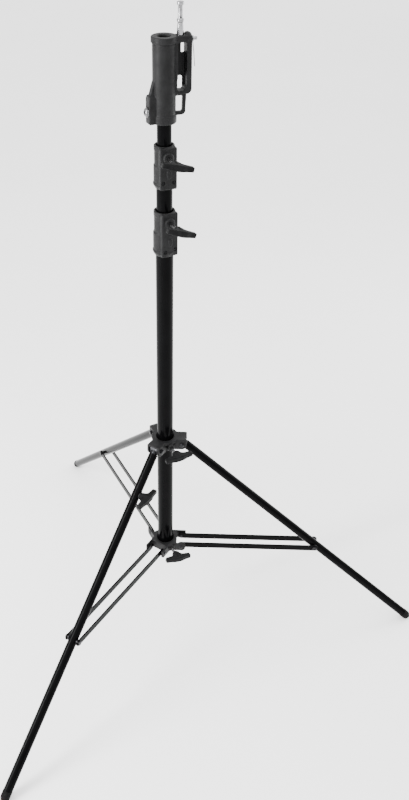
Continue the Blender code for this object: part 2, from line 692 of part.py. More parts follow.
# ---- Braces -------------------------------------------------------------------------------
def brace_pin_profile():
    """A rivet through the ear and the bar, with a shoulder that spaces the two apart."""
    ear_inner, ear_outer = EAR_SIDES
    bar_inner = BRACE_SIDE - BRACE_THICK / 2
    bar_outer = BRACE_SIDE + BRACE_THICK / 2
    shaft = BRACE_PIN_RADIUS
    return [
        (0.0, ear_outer + GAP + 0.0022), (0.0036, ear_outer + GAP + 0.0020),
        (0.0052, ear_outer + GAP + 0.0008), (0.0052, ear_outer + GAP),
        (shaft, ear_outer + GAP), (shaft, ear_inner - GAP), (0.0046, ear_inner - GAP),
        (0.0046, bar_outer + GAP), (shaft, bar_outer + GAP), (shaft, bar_inner - GAP),
        (0.0046, bar_inner - GAP), (0.0040, bar_inner - GAP - 0.0012),
        (0.0, bar_inner - GAP - 0.0012),
    ]


def brace_pair(leg, axis):
    """Two flat bars from the lower collar's lugs to the leg, one on each side of it."""
    spoke = frame(f"{leg}_brace_spoke", axis, (0, 0, 0), (0, 0, LEG_AZIMUTHS[leg]))
    line = frame(f"{leg}_brace_line", spoke, (BRACE_PIVOT_REACH, 0, BRACE_PIVOT_HEIGHT),
                 (0, -math.degrees(BRACE_RISE), 0))
    half = BRACE_TALL / 2
    outline = arc((0.0, 0.0), half, 90, 270, 6) + arc((BRACE_LENGTH, 0.0), half, -90, 90, 6)
    for side, sign in (("left", 1), ("right", -1)):
        name = f"{leg}_brace_{side}"
        middle = -sign * BRACE_SIDE
        bar = plate(name, outline, middle - BRACE_THICK / 2, middle + BRACE_THICK / 2, line,
                    (0, 0, 0), (90, 0, 0))
        hole = rod(f"{name}_hole", BRACE_PIN_RADIUS + GAP, -0.012, 0.012, line,
                   (0, sign * BRACE_SIDE, 0), (90, 0, 0), steps=12)
        face = BRACE_SIDE + BRACE_THICK / 2
        head = rod(f"{name}_bolt_head", 0.0068, face - 0.001, face + 0.0034, line,
                   (BRACE_LENGTH, 0, 0), (-90 * sign, 0, 0), steps=14, edge=0.0012)
        join(bar, head)
        cut(bar, hole)
        finish(bar, "tube_black")
        pin = turned(f"{leg}_brace_pin_{side}", brace_pin_profile(), spoke,
                     (BRACE_PIVOT_REACH, 0, BRACE_PIVOT_HEIGHT), (-90 * sign, 0, 0), steps=8)
        finish(pin, "black_steel")


# ---- Head ---------------------------------------------------------------------------------
def head_body(head):
    """The round body: a band at the bottom and, above a groove, a taller one at the top."""
    height = HEAD_HEIGHT
    profile = [
        (0.0, height), (0.0282, height), (0.0300, height - 0.0018),
        (0.0300, height - 0.0135), (0.0290, height - 0.0145), (0.0262, height - 0.0148),
        (0.0262, height - 0.0162), (0.0270, height - 0.0170), (0.0270, 0.0205),
        (0.0290, 0.0190), (0.0290, 0.0025), (0.0272, 0.0), (0.0, 0.0),
    ]
    return turned("head_casting", profile, head, steps=28)


def head_bore(head):
    """One stepped bore: the tube's seat, a narrower throat, the socket and its lead-in."""
    height = HEAD_HEIGHT
    bore = TOP_TUBE_RADIUS + GAP
    tube_end = TOP_TUBE_SPAN[1] - HEAD_BOTTOM + GAP
    profile = [
        (0.0, height + 0.010), (0.0168, height + 0.010), (0.0168, height),
        (SOCKET_RADIUS, height - 0.0030), (SOCKET_RADIUS, SOCKET_FLOOR),
        (0.0100, SOCKET_FLOOR), (0.0100, tube_end), (bore, tube_end), (bore, -0.010),
        (0.0, -0.010),
    ]
    return turned("head_bore", profile, head, steps=28)


def bracket_outline():
    """Front view of the side bracket, in X and Z."""
    top = HEAD_HEIGHT - 0.0004
    points = [(0.016, top), (BRACKET_REACH, top)]
    points += arc((BRACKET_REACH - 0.0120, 0.0775), 0.0120, 0, -80, 5)
    points += [(0.016, 0.0645)]
    return points


def loop_outline():
    """Front view of the lower loop, in X and Z: a hook whose open side meets the body."""
    points = [(0.016, 0.0780), (0.0525, 0.0780), (0.0515, 0.0560), (0.0500, 0.0320)]
    points += arc((0.0400, 0.0255), 0.0100, 10, -90, 5)
    points += [(0.016, 0.0155), (0.016, 0.0236), (0.0380, 0.0236)]
    points += arc((0.0385, 0.0275), 0.0039, -80, 0, 3)
    points += [(0.0432, 0.0560)]
    points += arc((0.0385, 0.0570), 0.0042, 10, 90, 3)
    points += [(0.016, 0.0612)]
    return points


def rounded_slot(name, x_span, z_span, y_span, radius, head):
    """A cutter with rounded ends, standing in the XZ plane and running along Y."""
    (left, right), (low, high) = x_span, z_span
    points = arc((right - radius, high - radius), radius, 0, 90, 3)
    points += arc((left + radius, high - radius), radius, 90, 180, 3)
    points += arc((left + radius, low + radius), radius, 180, 270, 3)
    points += arc((right - radius, low + radius), radius, 270, 360, 3)
    return plate(name, points, -y_span[1], -y_span[0], head, (0, 0, 0), (90, 0, 0))


def head_casting(head):
    casting = head_body(head)
    bracket = plate("head_bracket", bracket_outline(), -0.0130, 0.0140, head, (0, 0, 0),
                    (90, 0, 0), bevel=0.0032, segments=2, angle=40)
    loop = plate("head_loop", loop_outline(), -0.0060, 0.0060, head, (0, 0, 0), (90, 0, 0),
                 bevel=0.0012, segments=1, angle=40)
    boss = turned("head_pin_boss", [
        (0.0, BRACKET_REACH + 0.0012), (0.0075, BRACKET_REACH + 0.0012),
        (0.0115, BRACKET_REACH - 0.0010), (0.0145, BRACKET_REACH - 0.0060),
        (0.0145, 0.0515), (0.0120, 0.0475), (0.0, 0.0475),
    ], head, (0, 0, 0.1900), (0, 90, 0), steps=24)
    side = frame("head_lock_side", head, (0, 0, 0), (0, 0, -171.0))
    arch = [(-0.0120, 0.0004), (0.0120, 0.0004)] + arc((0.0, 0.0580), 0.0120, 0, 180, 6)
    lug = plate("head_lock_lug", arch, 0.0180, 0.0420, side, (0, 0, 0), (90, 0, 90),
                bevel=0.0022, segments=1)
    rib = plate("head_lock_rib", [(0.016, 0.030), (0.0380, 0.030), (0.0385, 0.064),
                                  (0.0262, 0.106), (0.016, 0.106)], -0.0065, 0.0065, side,
                (0, 0, 0), (90, 0, 0), bevel=0.0015, segments=1)
    join(casting, bracket, loop, boss, lug, rib)
    recess = rounded_slot("head_recess", (0.0290, 0.0500), (0.0820, 0.1836), (-0.030, 0.0090),
                          0.0060, head)
    low_window = rounded_slot("head_low_window", (0.0278, 0.0450), (0.0742, 0.1040),
                              (-0.035, 0.035), 0.0045, head)
    top_window = rounded_slot("head_top_window", (0.0420, 0.0495), (0.1560, 0.1780),
                              (-0.010, 0.030), 0.0020, head)
    stud_hole = rod("head_stud_hole", STUD_RADIUS + 0.0004, 0.150, 0.230, head,
                    (STUD_X, 0, 0), steps=20)
    pin_hole = rod("head_pin_hole", 0.0033, 0.040, 0.080, head, (0, 0, LOCK_PIN_HEIGHT),
                   (0, 90, 0), steps=12)
    bolt_hole = rod("head_bolt_hole", 0.0053, 0.010, 0.060, side, (0, 0, 0.0290), (0, 90, 0))
    bore = head_bore(head)
    cut(casting, recess, low_window, top_window, stud_hole, pin_hole, bolt_hole, bore)
    finish(casting, "casting_grey")
    bolt = turned("head_lock_bolt", [
        (0.0, 0.0462), (0.0042, 0.0462), (0.0042, 0.0490), (0.0068, 0.0490), (0.0094, 0.0470),
        (0.0098, 0.0442), (0.0116, 0.0442), (0.0116, 0.0423),
        (0.0050, 0.0423), (0.0050, TOP_TUBE_RADIUS + 0.0012), (0.0042, TOP_TUBE_RADIUS + GAP),
        (0.0, TOP_TUBE_RADIUS + GAP),
    ], side, (0, 0, 0.0290), (0, 90, 0), steps=16)
    finish(bolt, "zinc_steel")


def baby_stud(head):
    """The 16 mm stud: top flange, waist, ring and a body that fills out to its base."""
    r = STUD_RADIUS
    profile = [
        (0.0, STUD_TOP), (r - 0.0010, STUD_TOP), (r, STUD_TOP - 0.0010), (r, STUD_TOP - 0.0062),
        (0.0055, STUD_TOP - 0.0080), (0.0055, 0.2335), (r, 0.2318), (r, 0.2270),
        (0.0064, 0.2258), (r, 0.2020), (r, 0.1862), (r - 0.0012, 0.1850), (0.0, 0.1850),
    ]
    finish(turned("baby_stud", profile, head, (STUD_X, 0, 0), steps=20), "chrome")


def stud_lock_pin(head):
    """The pin that locks the stud: shank, knurled-size head and an eye for its clip."""
    pin = turned("stud_lock_pin", [
        (0.0, 0.0765), (0.0030, 0.0765), (0.0042, 0.0752), (0.0042, 0.0685), (0.0060, 0.0680),
        (0.0066, 0.0670), (0.0066, 0.0652), (0.0058, 0.0642), (0.0030, 0.0642),
        (0.0030, STUD_X + STUD_RADIUS + 0.0012), (0.0022, STUD_X + STUD_RADIUS + GAP),
        (0.0, STUD_X + STUD_RADIUS + GAP),
    ], head, (0, 0, LOCK_PIN_HEIGHT), (0, 90, 0), steps=20)
    eye = rod("stud_lock_pin_eye", 0.0014, -0.02, 0.02, head, (0.0720, 0, LOCK_PIN_HEIGHT),
              (90, 0, 0), steps=10)
    cut(pin, eye)
    finish(pin, "chrome")


def lock_pin_clip(head):
    """The bent wire through the pin's eye, hanging down with a long tail."""
    curve = bpy.data.curves.new("lock_pin_clip", "CURVE")
    curve.dimensions = "3D"
    curve.bevel_depth = 0.0009
    curve.bevel_resolution = 2
    curve.use_fill_caps = True
    eye_x = 0.0720
    ring_radius = 0.0070
    points = [(eye_x, -0.0050, LOCK_PIN_HEIGHT), (eye_x, 0.0050, LOCK_PIN_HEIGHT)]
    for turn in range(30, 181, 30):
        angle = math.radians(turn)
        points.append((eye_x - 0.0030 * turn / 180, 0.0050 + ring_radius * math.sin(angle),
                       LOCK_PIN_HEIGHT - ring_radius * (1 - math.cos(angle))))
    ring_end = points[-1]
    points.append((ring_end[0] - 0.0012, 0.0, ring_end[2] - 0.0030))
    points.append((ring_end[0] - 0.0008, -0.0030, ring_end[2] - 0.0120))
    points.append((ring_end[0] + 0.0005, -0.0035, ring_end[2] - 0.0300))
    points.append((ring_end[0] + 0.0018, -0.0035, ring_end[2] - 0.0480))
    spline = curve.splines.new("POLY")
    spline.points.add(len(points) - 1)
    for target, point in zip(spline.points, points):
        target.co = (*point, 1.0)
    wire = bpy.data.objects.new("lock_pin_clip", curve)
    PARTS.objects.link(wire)
    wire.parent = head
    colour, roughness, metallic = finishes()["chrome"]
    curve.materials.append(material("lock_pin_clip_chrome", colour, roughness, metallic))


def build():
    axis = frame("column_axis", None, column_place())
    column_tubes(axis)
    tube_plugs(axis)
    for kind, data in CLAMPS.items():
        riser_clamp(kind, data, axis)
    upper_collar(axis)
    lower_collar(axis)
    collar_knobs(axis)
    plain_leg("right", axis)
    plain_leg("rear", axis)
    levelling_leg(axis)
    for leg in LEG_AZIMUTHS:
        brace_pair(leg, axis)
    head = frame("head_frame", axis, (0, 0, HEAD_BOTTOM))
    head_casting(head)
    baby_stud(head)
    stud_lock_pin(head)
    lock_pin_clip(head)
    bpy.context.view_layer.update()


build()
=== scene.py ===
"""The looks of the two-riser lighting stand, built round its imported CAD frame.

Metres, +Z up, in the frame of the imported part. The pieces are drawn in the same places as the
CAD nodes they stand for, with finer curves, rounded cast edges and real finishes. The heads of
the brace bolts and the levelling leg's boss are drawn besides, and ride on their bodies.
"""

import json
import math

import bmesh
import bpy
from mathutils import Euler, Matrix, Vector


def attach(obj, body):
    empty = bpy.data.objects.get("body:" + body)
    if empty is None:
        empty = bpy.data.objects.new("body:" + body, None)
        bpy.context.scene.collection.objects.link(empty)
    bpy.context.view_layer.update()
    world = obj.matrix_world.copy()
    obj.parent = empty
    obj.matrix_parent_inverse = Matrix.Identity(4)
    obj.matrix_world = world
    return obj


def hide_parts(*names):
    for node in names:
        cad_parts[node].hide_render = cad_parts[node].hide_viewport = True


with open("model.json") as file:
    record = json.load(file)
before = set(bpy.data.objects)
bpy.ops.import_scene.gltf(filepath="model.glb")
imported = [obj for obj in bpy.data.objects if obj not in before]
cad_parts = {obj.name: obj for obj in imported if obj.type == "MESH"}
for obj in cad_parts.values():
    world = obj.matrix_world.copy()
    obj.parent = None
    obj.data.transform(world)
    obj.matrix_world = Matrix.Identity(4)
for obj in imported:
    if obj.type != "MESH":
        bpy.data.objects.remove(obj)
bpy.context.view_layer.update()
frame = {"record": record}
NODE_BODY = {node: body for body, nodes in frame["record"]["behaviour"]["bodies"].items()
             for node in nodes}

# ---- Driving dimensions -------------------------------------------------------------------
GAP = 0.0003
TUBE_WALL = 0.0018

BASE_TUBE_RADIUS = 0.0225
MID_TUBE_RADIUS = 0.0200
TOP_TUBE_RADIUS = 0.0175
BASE_TUBE_SPAN = (0.2750, 1.3460)
MID_TUBE_SPAN = (0.3850, 1.5220)
TOP_TUBE_SPAN = (0.4850, 1.7200)

LEG_AZIMUTHS = {"right": -18.5, "rear": 101.5, "level": -138.5}
LEG_RADIUS = 0.0125
LEG_WALL = 0.0018
LEG_PIVOT_REACH = 0.048
LEG_PIVOT_HEIGHT = 0.687
FOOT_REACH = 0.7655
FOOT_RADIUS = 0.0130
LEG_EYE_RADIUS = 0.0120
LEG_EYE_WIDTH = 0.0240
LEG_TUBE_START = 0.0150
BRACE_JOINT_ALONG_LEG = 0.556
LEVEL_ROD_RADIUS = 0.0102
LEVEL_ROD_LENGTH = 0.480

BRACE_PIVOT_REACH = 0.048
BRACE_PIVOT_HEIGHT = 0.298
BRACE_SIDE = 0.0188
BRACE_THICK = 0.0040
BRACE_TALL = 0.0186
BRACE_PIN_RADIUS = 0.0030
BOLT_RADIUS = 0.0040

COLLAR_BORE = BASE_TUBE_RADIUS + 0.0005
COLLAR_RADIUS = 0.0310
COLLAR_SPAN = (-0.0170, 0.0175)
LOWER_COLLAR_SPAN = (-0.0150, 0.0130)
COLLAR_MOUTH = 0.0030
HOOD_REACH = 0.0620
HOOD_HALF_WIDTH = 0.0200
HOOD_CHANNEL = 0.0136
HOOD_ROOF = 0.0135
EAR_REACH = 0.0620
EAR_SIDES = (0.0245, 0.0300)
EAR_CORNER = 0.0130
HUB_FACE = 0.0345
COLLAR_BOSS_RADIUS = 0.0110
COLLAR_BOSS_REACH = 0.0420
COLLAR_KNOB_AZIMUTH = -78.5

KNOB_SPAN = 0.0820
KNOB_TIP = 0.0145
KNOB_NECK_RADIUS = 0.0100
KNOB_NECK = 0.0150
KNOB_HEIGHT = 0.0310
KNOB_THICK = 0.0170
KNOB_HOLE_DEPTH = 0.0160
COLLAR_KNOB_REACH = 0.0640
CLAMP_KNOB_REACH = 0.0670

HEAD_BOTTOM = 1.6280
HEAD_HEIGHT = 0.1985
SOCKET_RADIUS = 0.0143
SOCKET_FLOOR = 0.1180
STUD_X = 0.0375
STUD_RADIUS = 0.0080
STUD_TOP = 0.2695
LOCK_PIN_HEIGHT = 0.1880
BRACKET_REACH = 0.0625

ROUND = 96
SMALL_ROUND = 48

# Turns that lay a piece's own Z along X, or along -Y with its own Y upwards.
ALONG_X = (0, 90, 0)
ALONG_Y = (90, 0, 0)

# A riser clamp: sleeve radii of its lower and upper halves, its two bores, height, screw.
CLAMPS = {
    "base": {
        "bottom": 1.2860, "height": 0.1200, "lower": 0.0286, "upper": 0.0262,
        "outer_tube": BASE_TUBE_RADIUS, "inner_tube": MID_TUBE_RADIUS, "seat": 0.0603,
        "screw": 0.0940, "azimuth": -77.5, "tilt": -21.0, "sides": (-0.0210, 0.0240),
        "set_screws": ((-0.0115, 0.0165), (0.0160, 0.0205)),
    },
    "mid": {
        "bottom": 1.4655, "height": 0.1090, "lower": 0.0262, "upper": 0.0244,
        "outer_tube": MID_TUBE_RADIUS, "inner_tube": TOP_TUBE_RADIUS, "seat": 0.0568,
        "screw": 0.0835, "azimuth": -84.4, "tilt": -15.5, "sides": (-0.0205, 0.0230),
        "set_screws": ((-0.0125, 0.0205), (0.0145, 0.0205)),
    },
}
CLAMP_FACE = 0.0280
CLAMP_RUNNING_FIT = 0.0006
CLAMP_BOSS_RADIUS = 0.0130
CLAMP_BOSS_REACH = 0.0330

# Sizes and places of the smaller pieces.
COLLAR_FLANGE = 0.0385
FOOT_CAP = 0.016
LEVEL_KNOB_ALONG = 0.1357
HEAD_LOCK_AZIMUTH = -171.0
HEAD_LOCK_HEIGHT = 0.0290
PIN_EYE_X = 0.0720
CLIP_WIRE_RADIUS = 0.0009
CLIP_RING_RADIUS = 0.0070

# Cast skins: the grain they are rebuilt at, and how many passes ease their edges.
CAST_VOXEL = 0.0007
KNOB_VOXEL = 0.0005
CAST_EASE = 4
KNOB_TAPER = 0.30

# Machined pieces: their broken edges, and the angle in degrees past which a fold is sharp.
BROKEN_EDGE = 0.0003
SHARP_ANGLE = 20

# ---- Studio and camera --------------------------------------------------------------------
FLOOR_SIZE = 60.0
SKY_LOW = 0.55
SKY_HIGH = 3.60
# Soft lights: place, the point they face, their width and length, and their power in watts.
LIGHTS = {
    "left_bank": ((-2.8, -0.7, 2.1), (-0.1, 0, 1.1), (0.45, 3.0), 170),
    "leg_strip": ((-2.76, -0.61, 2.14), (-0.3, -0.32, 0.45), (0.09, 2.4), 60),
    "right_bank": ((3.2, 0.6, 1.9), (0, 0, 1.0), (1.2, 3.0), 70),
}
CAMERA_LENS = 40.658
CAMERA_SHIFT = (0.049734, -0.117348)
CAMERA_AZIMUTH = 15.0
CAMERA_REACH = 2.01918
CAMERA_HEIGHT = 2.33281
CAMERA_DIP = 0.536821
CAMERA_ROLL = -0.0029237

# ---- Worked out from the driving dimensions -----------------------------------------------
LEG_RUN = FOOT_REACH - LEG_PIVOT_REACH
LEG_DROP = LEG_PIVOT_HEIGHT - FOOT_RADIUS
LEG_LENGTH = math.hypot(LEG_RUN, LEG_DROP)
LEG_SPREAD = math.atan2(LEG_RUN, LEG_DROP)
JOINT_REACH = LEG_PIVOT_REACH + BRACE_JOINT_ALONG_LEG * math.sin(LEG_SPREAD)
JOINT_HEIGHT = LEG_PIVOT_HEIGHT - BRACE_JOINT_ALONG_LEG * math.cos(LEG_SPREAD)
BRACE_LENGTH = math.hypot(JOINT_REACH - BRACE_PIVOT_REACH, JOINT_HEIGHT - BRACE_PIVOT_HEIGHT)
BRACE_RISE = math.atan2(JOINT_HEIGHT - BRACE_PIVOT_HEIGHT, JOINT_REACH - BRACE_PIVOT_REACH)


def column_place():
    """The column axis, set so that the footprint box is centred on the origin."""
    feet = []
    for azimuth in LEG_AZIMUTHS.values():
        turn = math.radians(azimuth)
        feet.append((FOOT_REACH * math.cos(turn), FOOT_REACH * math.sin(turn)))
    middle = [(min(axis) + max(axis)) / 2 for axis in zip(*feet)]
    return (-middle[0], -middle[1], 0.0)


PIECES = bpy.data.collections.new("pieces")
bpy.context.scene.collection.children.link(PIECES)


# ---- Finishes -----------------------------------------------------------------------------
def set_range(node, numbers):
    """Sets the four ends of a Map Range node."""
    for socket, number in zip(("From Min", "From Max", "To Min", "To Max"), numbers):
        node.inputs[socket].default_value = number


class Coat:
    """A node material: helpers that add and join nodes round one Principled shader."""

    def __init__(self, name, roughness=0.5, metallic=0.0, specular=0.5):
        self.made = bpy.data.materials.new(name)
        self.made.use_nodes = True
        self.nodes = self.made.node_tree.nodes
        self.links = self.made.node_tree.links
        self.shader = self.nodes["Principled BSDF"]
        self.shader.inputs["Metallic"].default_value = metallic
        self.shader.inputs["Roughness"].default_value = roughness
        self.shader.inputs["Specular IOR Level"].default_value = specular
        self.place = self.nodes.new("ShaderNodeTexCoord").outputs["Object"]

    def noise(self, scale, detail=4.0, rough=0.55, stretch=None):
        """Fine to broad noise, by its scale in cells to a metre."""
        made = self.nodes.new("ShaderNodeTexNoise")
        made.inputs["Scale"].default_value = scale
        made.inputs["Detail"].default_value = detail
        made.inputs["Roughness"].default_value = rough
        source = self.place
        if stretch:
            squeeze = self.nodes.new("ShaderNodeMapping")
            squeeze.inputs["Scale"].default_value = stretch
            self.links.new(self.place, squeeze.inputs["Vector"])
            source = squeeze.outputs["Vector"]
        self.links.new(source, made.inputs["Vector"])
        return made.outputs["Fac"]

    def wear(self, low, high):
        """White on proud edges, black elsewhere."""
        shape = self.nodes.new("ShaderNodeNewGeometry").outputs["Pointiness"]
        return self.spread(shape, low, high)

    def spread(self, value, low, high, to_low=0.0, to_high=1.0):
        """Stretches a value's range onto another."""
        made = self.nodes.new("ShaderNodeMapRange")
        set_range(made, (low, high, to_low, to_high))
        self.links.new(value, made.inputs["Value"])
        return made.outputs["Result"]

    def uneven(self, scale, low, high):
        """A roughness that wanders between two values."""
        return self.spread(self.noise(scale), 0.3, 0.7, low, high)

    def times(self, first, second):
        made = self.nodes.new("ShaderNodeMath")
        made.operation = "MULTIPLY"
        self.links.new(first, made.inputs[0])
        self.links.new(second, made.inputs[1])
        return made.outputs["Value"]

    def colours(self, dark, light, mask):
        """Two colours mixed by a mask; either may be another colour's output."""
        made = self.nodes.new("ShaderNodeMix")
        made.data_type = "RGBA"
        self.links.new(mask, made.inputs["Factor"])
        for socket, colour in zip(("A", "B"), (dark, light)):
            target = [s for s in made.inputs if s.name == socket and s.type == "RGBA"][0]
            if isinstance(colour, tuple):
                target.default_value = (*colour, 1.0)
            else:
                self.links.new(colour, target)
        return [s for s in made.outputs if s.type == "RGBA"][0]

    def bump(self, height, depth, strength=1.0, below=None):
        made = self.nodes.new("ShaderNodeBump")
        made.inputs["Strength"].default_value = strength
        made.inputs["Distance"].default_value = depth
        self.links.new(height, made.inputs["Height"])
        if below:
            self.links.new(below, made.inputs["Normal"])
        return made.outputs["Normal"]

    def done(self, colour=None, roughness=None, normal=None):
        for socket, source in (("Base Color", colour), ("Roughness", roughness),
                               ("Normal", normal)):
            if source is not None:
                self.links.new(source, self.shader.inputs[socket])
        return self.made


def cast_coat():
    """Dark grey textured powder coat on cast aluminium, rubbed lighter on its edges."""
    coat = Coat("cast_coat", specular=0.13)
    broad = coat.spread(coat.noise(35.0), 0.35, 0.65)
    base = coat.colours((0.0030, 0.0030, 0.0032), (0.0075, 0.0075, 0.0079), broad)
    speck = coat.spread(coat.noise(1500.0, 3.0), 0.58, 0.75)
    base = coat.colours(base, (0.022, 0.022, 0.023), speck)
    rubbed = coat.times(coat.wear(0.515, 0.60), coat.spread(coat.noise(160.0), 0.45, 0.6))
    base = coat.colours(base, (0.034, 0.034, 0.035), rubbed)
    rough = coat.uneven(240.0, 0.40, 0.58)
    grain = coat.bump(coat.noise(1300.0, 3.0, 0.5), 0.00022, 0.55)
    return coat.done(base, rough, coat.bump(coat.noise(260.0, 3.0), 0.0011, 0.30, grain))


def tube_coat():
    """Gloss black coat on drawn tube: faint lengthwise rubs, dust and slight orange peel."""
    coat = Coat("tube_coat", 0.25, specular=0.030)
    broad = coat.spread(coat.noise(18.0), 0.3, 0.7)
    base = coat.colours((0.0008, 0.0008, 0.0009), (0.0018, 0.0018, 0.0020), broad)
    rubs = coat.spread(coat.noise(500.0, 3.0, 0.6, (1.0, 1.0, 0.03)), 0.62, 0.80, 0.0, 0.6)
    base = coat.colours(base, (0.007, 0.007, 0.0075), rubs)
    rough = coat.spread(coat.noise(90.0, 5.0, 0.6), 0.3, 0.7, 0.11, 0.20)
    return coat.done(base, rough, coat.bump(coat.noise(420.0, 2.0), 0.00010, 0.25))


def knob_coat():
    """Black textured coat on the cast wings, worn through to grey on their tips."""
    coat = Coat("knob_coat", specular=0.07)
    broad = coat.spread(coat.noise(70.0), 0.35, 0.65)
    base = coat.colours((0.0022, 0.0022, 0.0024), (0.0055, 0.0055, 0.0058), broad)
    rubbed = coat.times(coat.wear(0.52, 0.60), coat.spread(coat.noise(220.0), 0.42, 0.6))
    base = coat.colours(base, (0.032, 0.032, 0.033), rubbed)
    rough = coat.uneven(260.0, 0.42, 0.62)
    return coat.done(base, rough, coat.bump(coat.noise(1100.0, 3.0, 0.5), 0.00028, 0.6))


def rubber_coat():
    """Matt black rubber with scuffs."""
    coat = Coat("rubber", 0.8, specular=0.10)
    scuff = coat.spread(coat.noise(140.0, 5.0), 0.52, 0.72, 0.0, 0.8)
    base = coat.colours((0.0020, 0.0020, 0.0020), (0.0090, 0.0088, 0.0086), scuff)
    rough = coat.uneven(300.0, 0.70, 0.90)
    return coat.done(base, rough, coat.bump(coat.noise(700.0), 0.00025, 0.5))


def chrome_coat():
    """Chrome, darkened overall as painted shade for its dark reflections, with finger marks."""
    coat = Coat("chrome", 0.08, 1.0)
    smear = coat.spread(coat.noise(120.0, 4.0), 0.45, 0.7)
    # Both colours are far darker than real chrome: painted shade standing in for dark
    # reflections. The mix between them is the finger marks.
    base = coat.colours((0.30, 0.30, 0.31), (0.17, 0.17, 0.17), smear)
    rough = coat.spread(coat.noise(90.0, 4.0), 0.35, 0.7, 0.05, 0.17)
    return coat.done(base, rough, coat.bump(coat.noise(200.0, 2.0), 0.00006, 0.10))


def zinc_coat():
    """Zinc plate, darkened overall as painted shade for its dark reflections, with turning marks
    and dull patches.
    """
    coat = Coat("zinc_plate", 0.3, 1.0)
    patch = coat.spread(coat.noise(260.0, 4.0), 0.4, 0.65)
    # Both colours are far darker than bright zinc plate: painted shade standing in for dark
    # reflections. The mix between them is the dull patches.
    base = coat.colours((0.17, 0.17, 0.175), (0.08, 0.08, 0.08), patch)
    rough = coat.uneven(400.0, 0.20, 0.42)
    return coat.done(base, rough, coat.bump(coat.noise(900.0), 0.00012, 0.3))


def black_steel_coat():
    """Steel blacked in oil: dark, with bare metal showing in small rubbed spots."""
    coat = Coat("black_steel", 0.35, 1.0)
    patch = coat.spread(coat.noise(320.0, 4.0), 0.4, 0.65)
    base = coat.colours((0.012, 0.012, 0.013), (0.030, 0.030, 0.032), patch)
    bare = coat.spread(coat.noise(700.0, 3.0), 0.66, 0.78)
    base = coat.colours(base, (0.22, 0.22, 0.22), bare)
    rough = coat.uneven(400.0, 0.26, 0.46)
    return coat.done(base, rough, coat.bump(coat.noise(900.0), 0.00012, 0.3))


def brass_coat():
    """Turned brass, tarnished in patches."""
    coat = Coat("turned_brass", 0.35, 1.0)
    tarnish = coat.spread(coat.noise(300.0), 0.4, 0.7)
    base = coat.colours((0.60, 0.43, 0.20), (0.30, 0.20, 0.09), tarnish)
    rough = coat.uneven(500.0, 0.28, 0.50)
    return coat.done(base, rough, coat.bump(coat.noise(800.0), 0.0001, 0.3))


def nylon_coat():
    """Off-white nylon with grey grime."""
    coat = Coat("nylon", 0.5)
    coat.shader.inputs["Subsurface Weight"].default_value = 0.1
    grime = coat.spread(coat.noise(180.0), 0.5, 0.8)
    base = coat.colours((0.62, 0.61, 0.57), (0.30, 0.29, 0.26), grime)
    rough = coat.uneven(400.0, 0.42, 0.60)
    return coat.done(base, rough, coat.bump(coat.noise(900.0), 0.0001, 0.3))


FINISHES = {
    "tube_black": tube_coat(),
    "casting_grey": cast_coat(),
    "knob_black": knob_coat(),
    "rubber_black": rubber_coat(),
    "chrome": chrome_coat(),
    "zinc_steel": zinc_coat(),
    "black_steel": black_steel_coat(),
    "brass": brass_coat(),
    "nylon": nylon_coat(),
}


# ---- Placing and fixing pieces ------------------------------------------------------------
def holder(name, parent=None, place=(0, 0, 0), turn=(0, 0, 0)):
    """An empty that pieces are placed in."""
    return add(name, None, parent, place, turn)


def add(name, mesh, parent, place=(0, 0, 0), turn=(0, 0, 0)):
    """Puts a mesh, or nothing, in its parent's frame; turn is in degrees about X, Y and Z."""
    made = bpy.data.objects.new(name, mesh)
    PIECES.objects.link(made)
    made.parent = parent
    made.location = place
    made.rotation_euler = [math.radians(angle) for angle in turn]
    return made


def plain_mesh(part):
    """The piece as it stands, modifiers and place included, as one mesh in the world's frame."""
    bpy.context.view_layer.update()
    graph = bpy.context.evaluated_depsgraph_get()
    mesh = bpy.data.meshes.new_from_object(part.evaluated_get(graph), depsgraph=graph)
    mesh.transform(part.matrix_world)
    mesh.materials.clear()
    return mesh


def as_cast(part, voxel):
    """Rounds every edge and corner the way a coated casting is rounded."""
    skin = part.modifiers.new("skin", "REMESH")
    skin.mode = "VOXEL"
    skin.voxel_size = voxel
    skin.use_smooth_shade = True
    ease = part.modifiers.new("ease", "SMOOTH")
    ease.factor = 0.5
    ease.iterations = CAST_EASE


def finish(part, slot, voxel=0.0, edge=BROKEN_EDGE, body=None):
    """Fixes a piece's mesh, coats it and puts it in its CAD node's place.

    Only castings give a voxel size, and only a piece that replaces no node gives a body.
    """
    name = part.name.split(".")[0]
    if edge and not voxel and part.type == "MESH":
        round_edges(part, edge)
    mesh = plain_mesh(part)
    drop(part)
    if voxel:
        rough = add(f"{name}_rough", mesh, None)
        as_cast(rough, voxel)
        mesh = plain_mesh(rough)
        drop(rough)
    mesh.shade_smooth()
    if not voxel:
        mesh.set_sharp_from_angle(angle=math.radians(SHARP_ANGLE))
    mesh.materials.append(FINISHES[slot])
    shown = add(f"{name}_look", mesh, None)
    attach(shown, body or NODE_BODY[name])
    if body is None:
        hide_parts(name)


def drop(part):
    """Removes a built piece and the cutters it used."""
    tools = [step.object for step in part.modifiers if step.type == "BOOLEAN"]
    for thing in [part, *tools]:
        bpy.data.objects.remove(thing, do_unlink=True)


# ---- Shapes -------------------------------------------------------------------------------
def turned(name, profile, parent, place=(0, 0, 0), turn=(0, 0, 0), steps=ROUND, closed=False):
    """A turned piece: (radius, height) points down the outer side, about local Z."""
    mesh = bpy.data.meshes.new(name)
    shape = bmesh.new()
    points = [shape.verts.new((radius, 0.0, height)) for radius, height in profile]
    for first, second in zip(points, points[1:]):
        shape.edges.new((first, second))
    if closed:
        shape.edges.new((points[-1], points[0]))
    shape.to_mesh(mesh)
    shape.free()
    part = add(name, mesh, parent, place, turn)
    screw = part.modifiers.new("turn", "SCREW")
    screw.steps = steps
    screw.render_steps = steps
    screw.use_merge_vertices = True
    screw.merge_threshold = 0.00002
    screw.use_smooth_shade = True
    return part


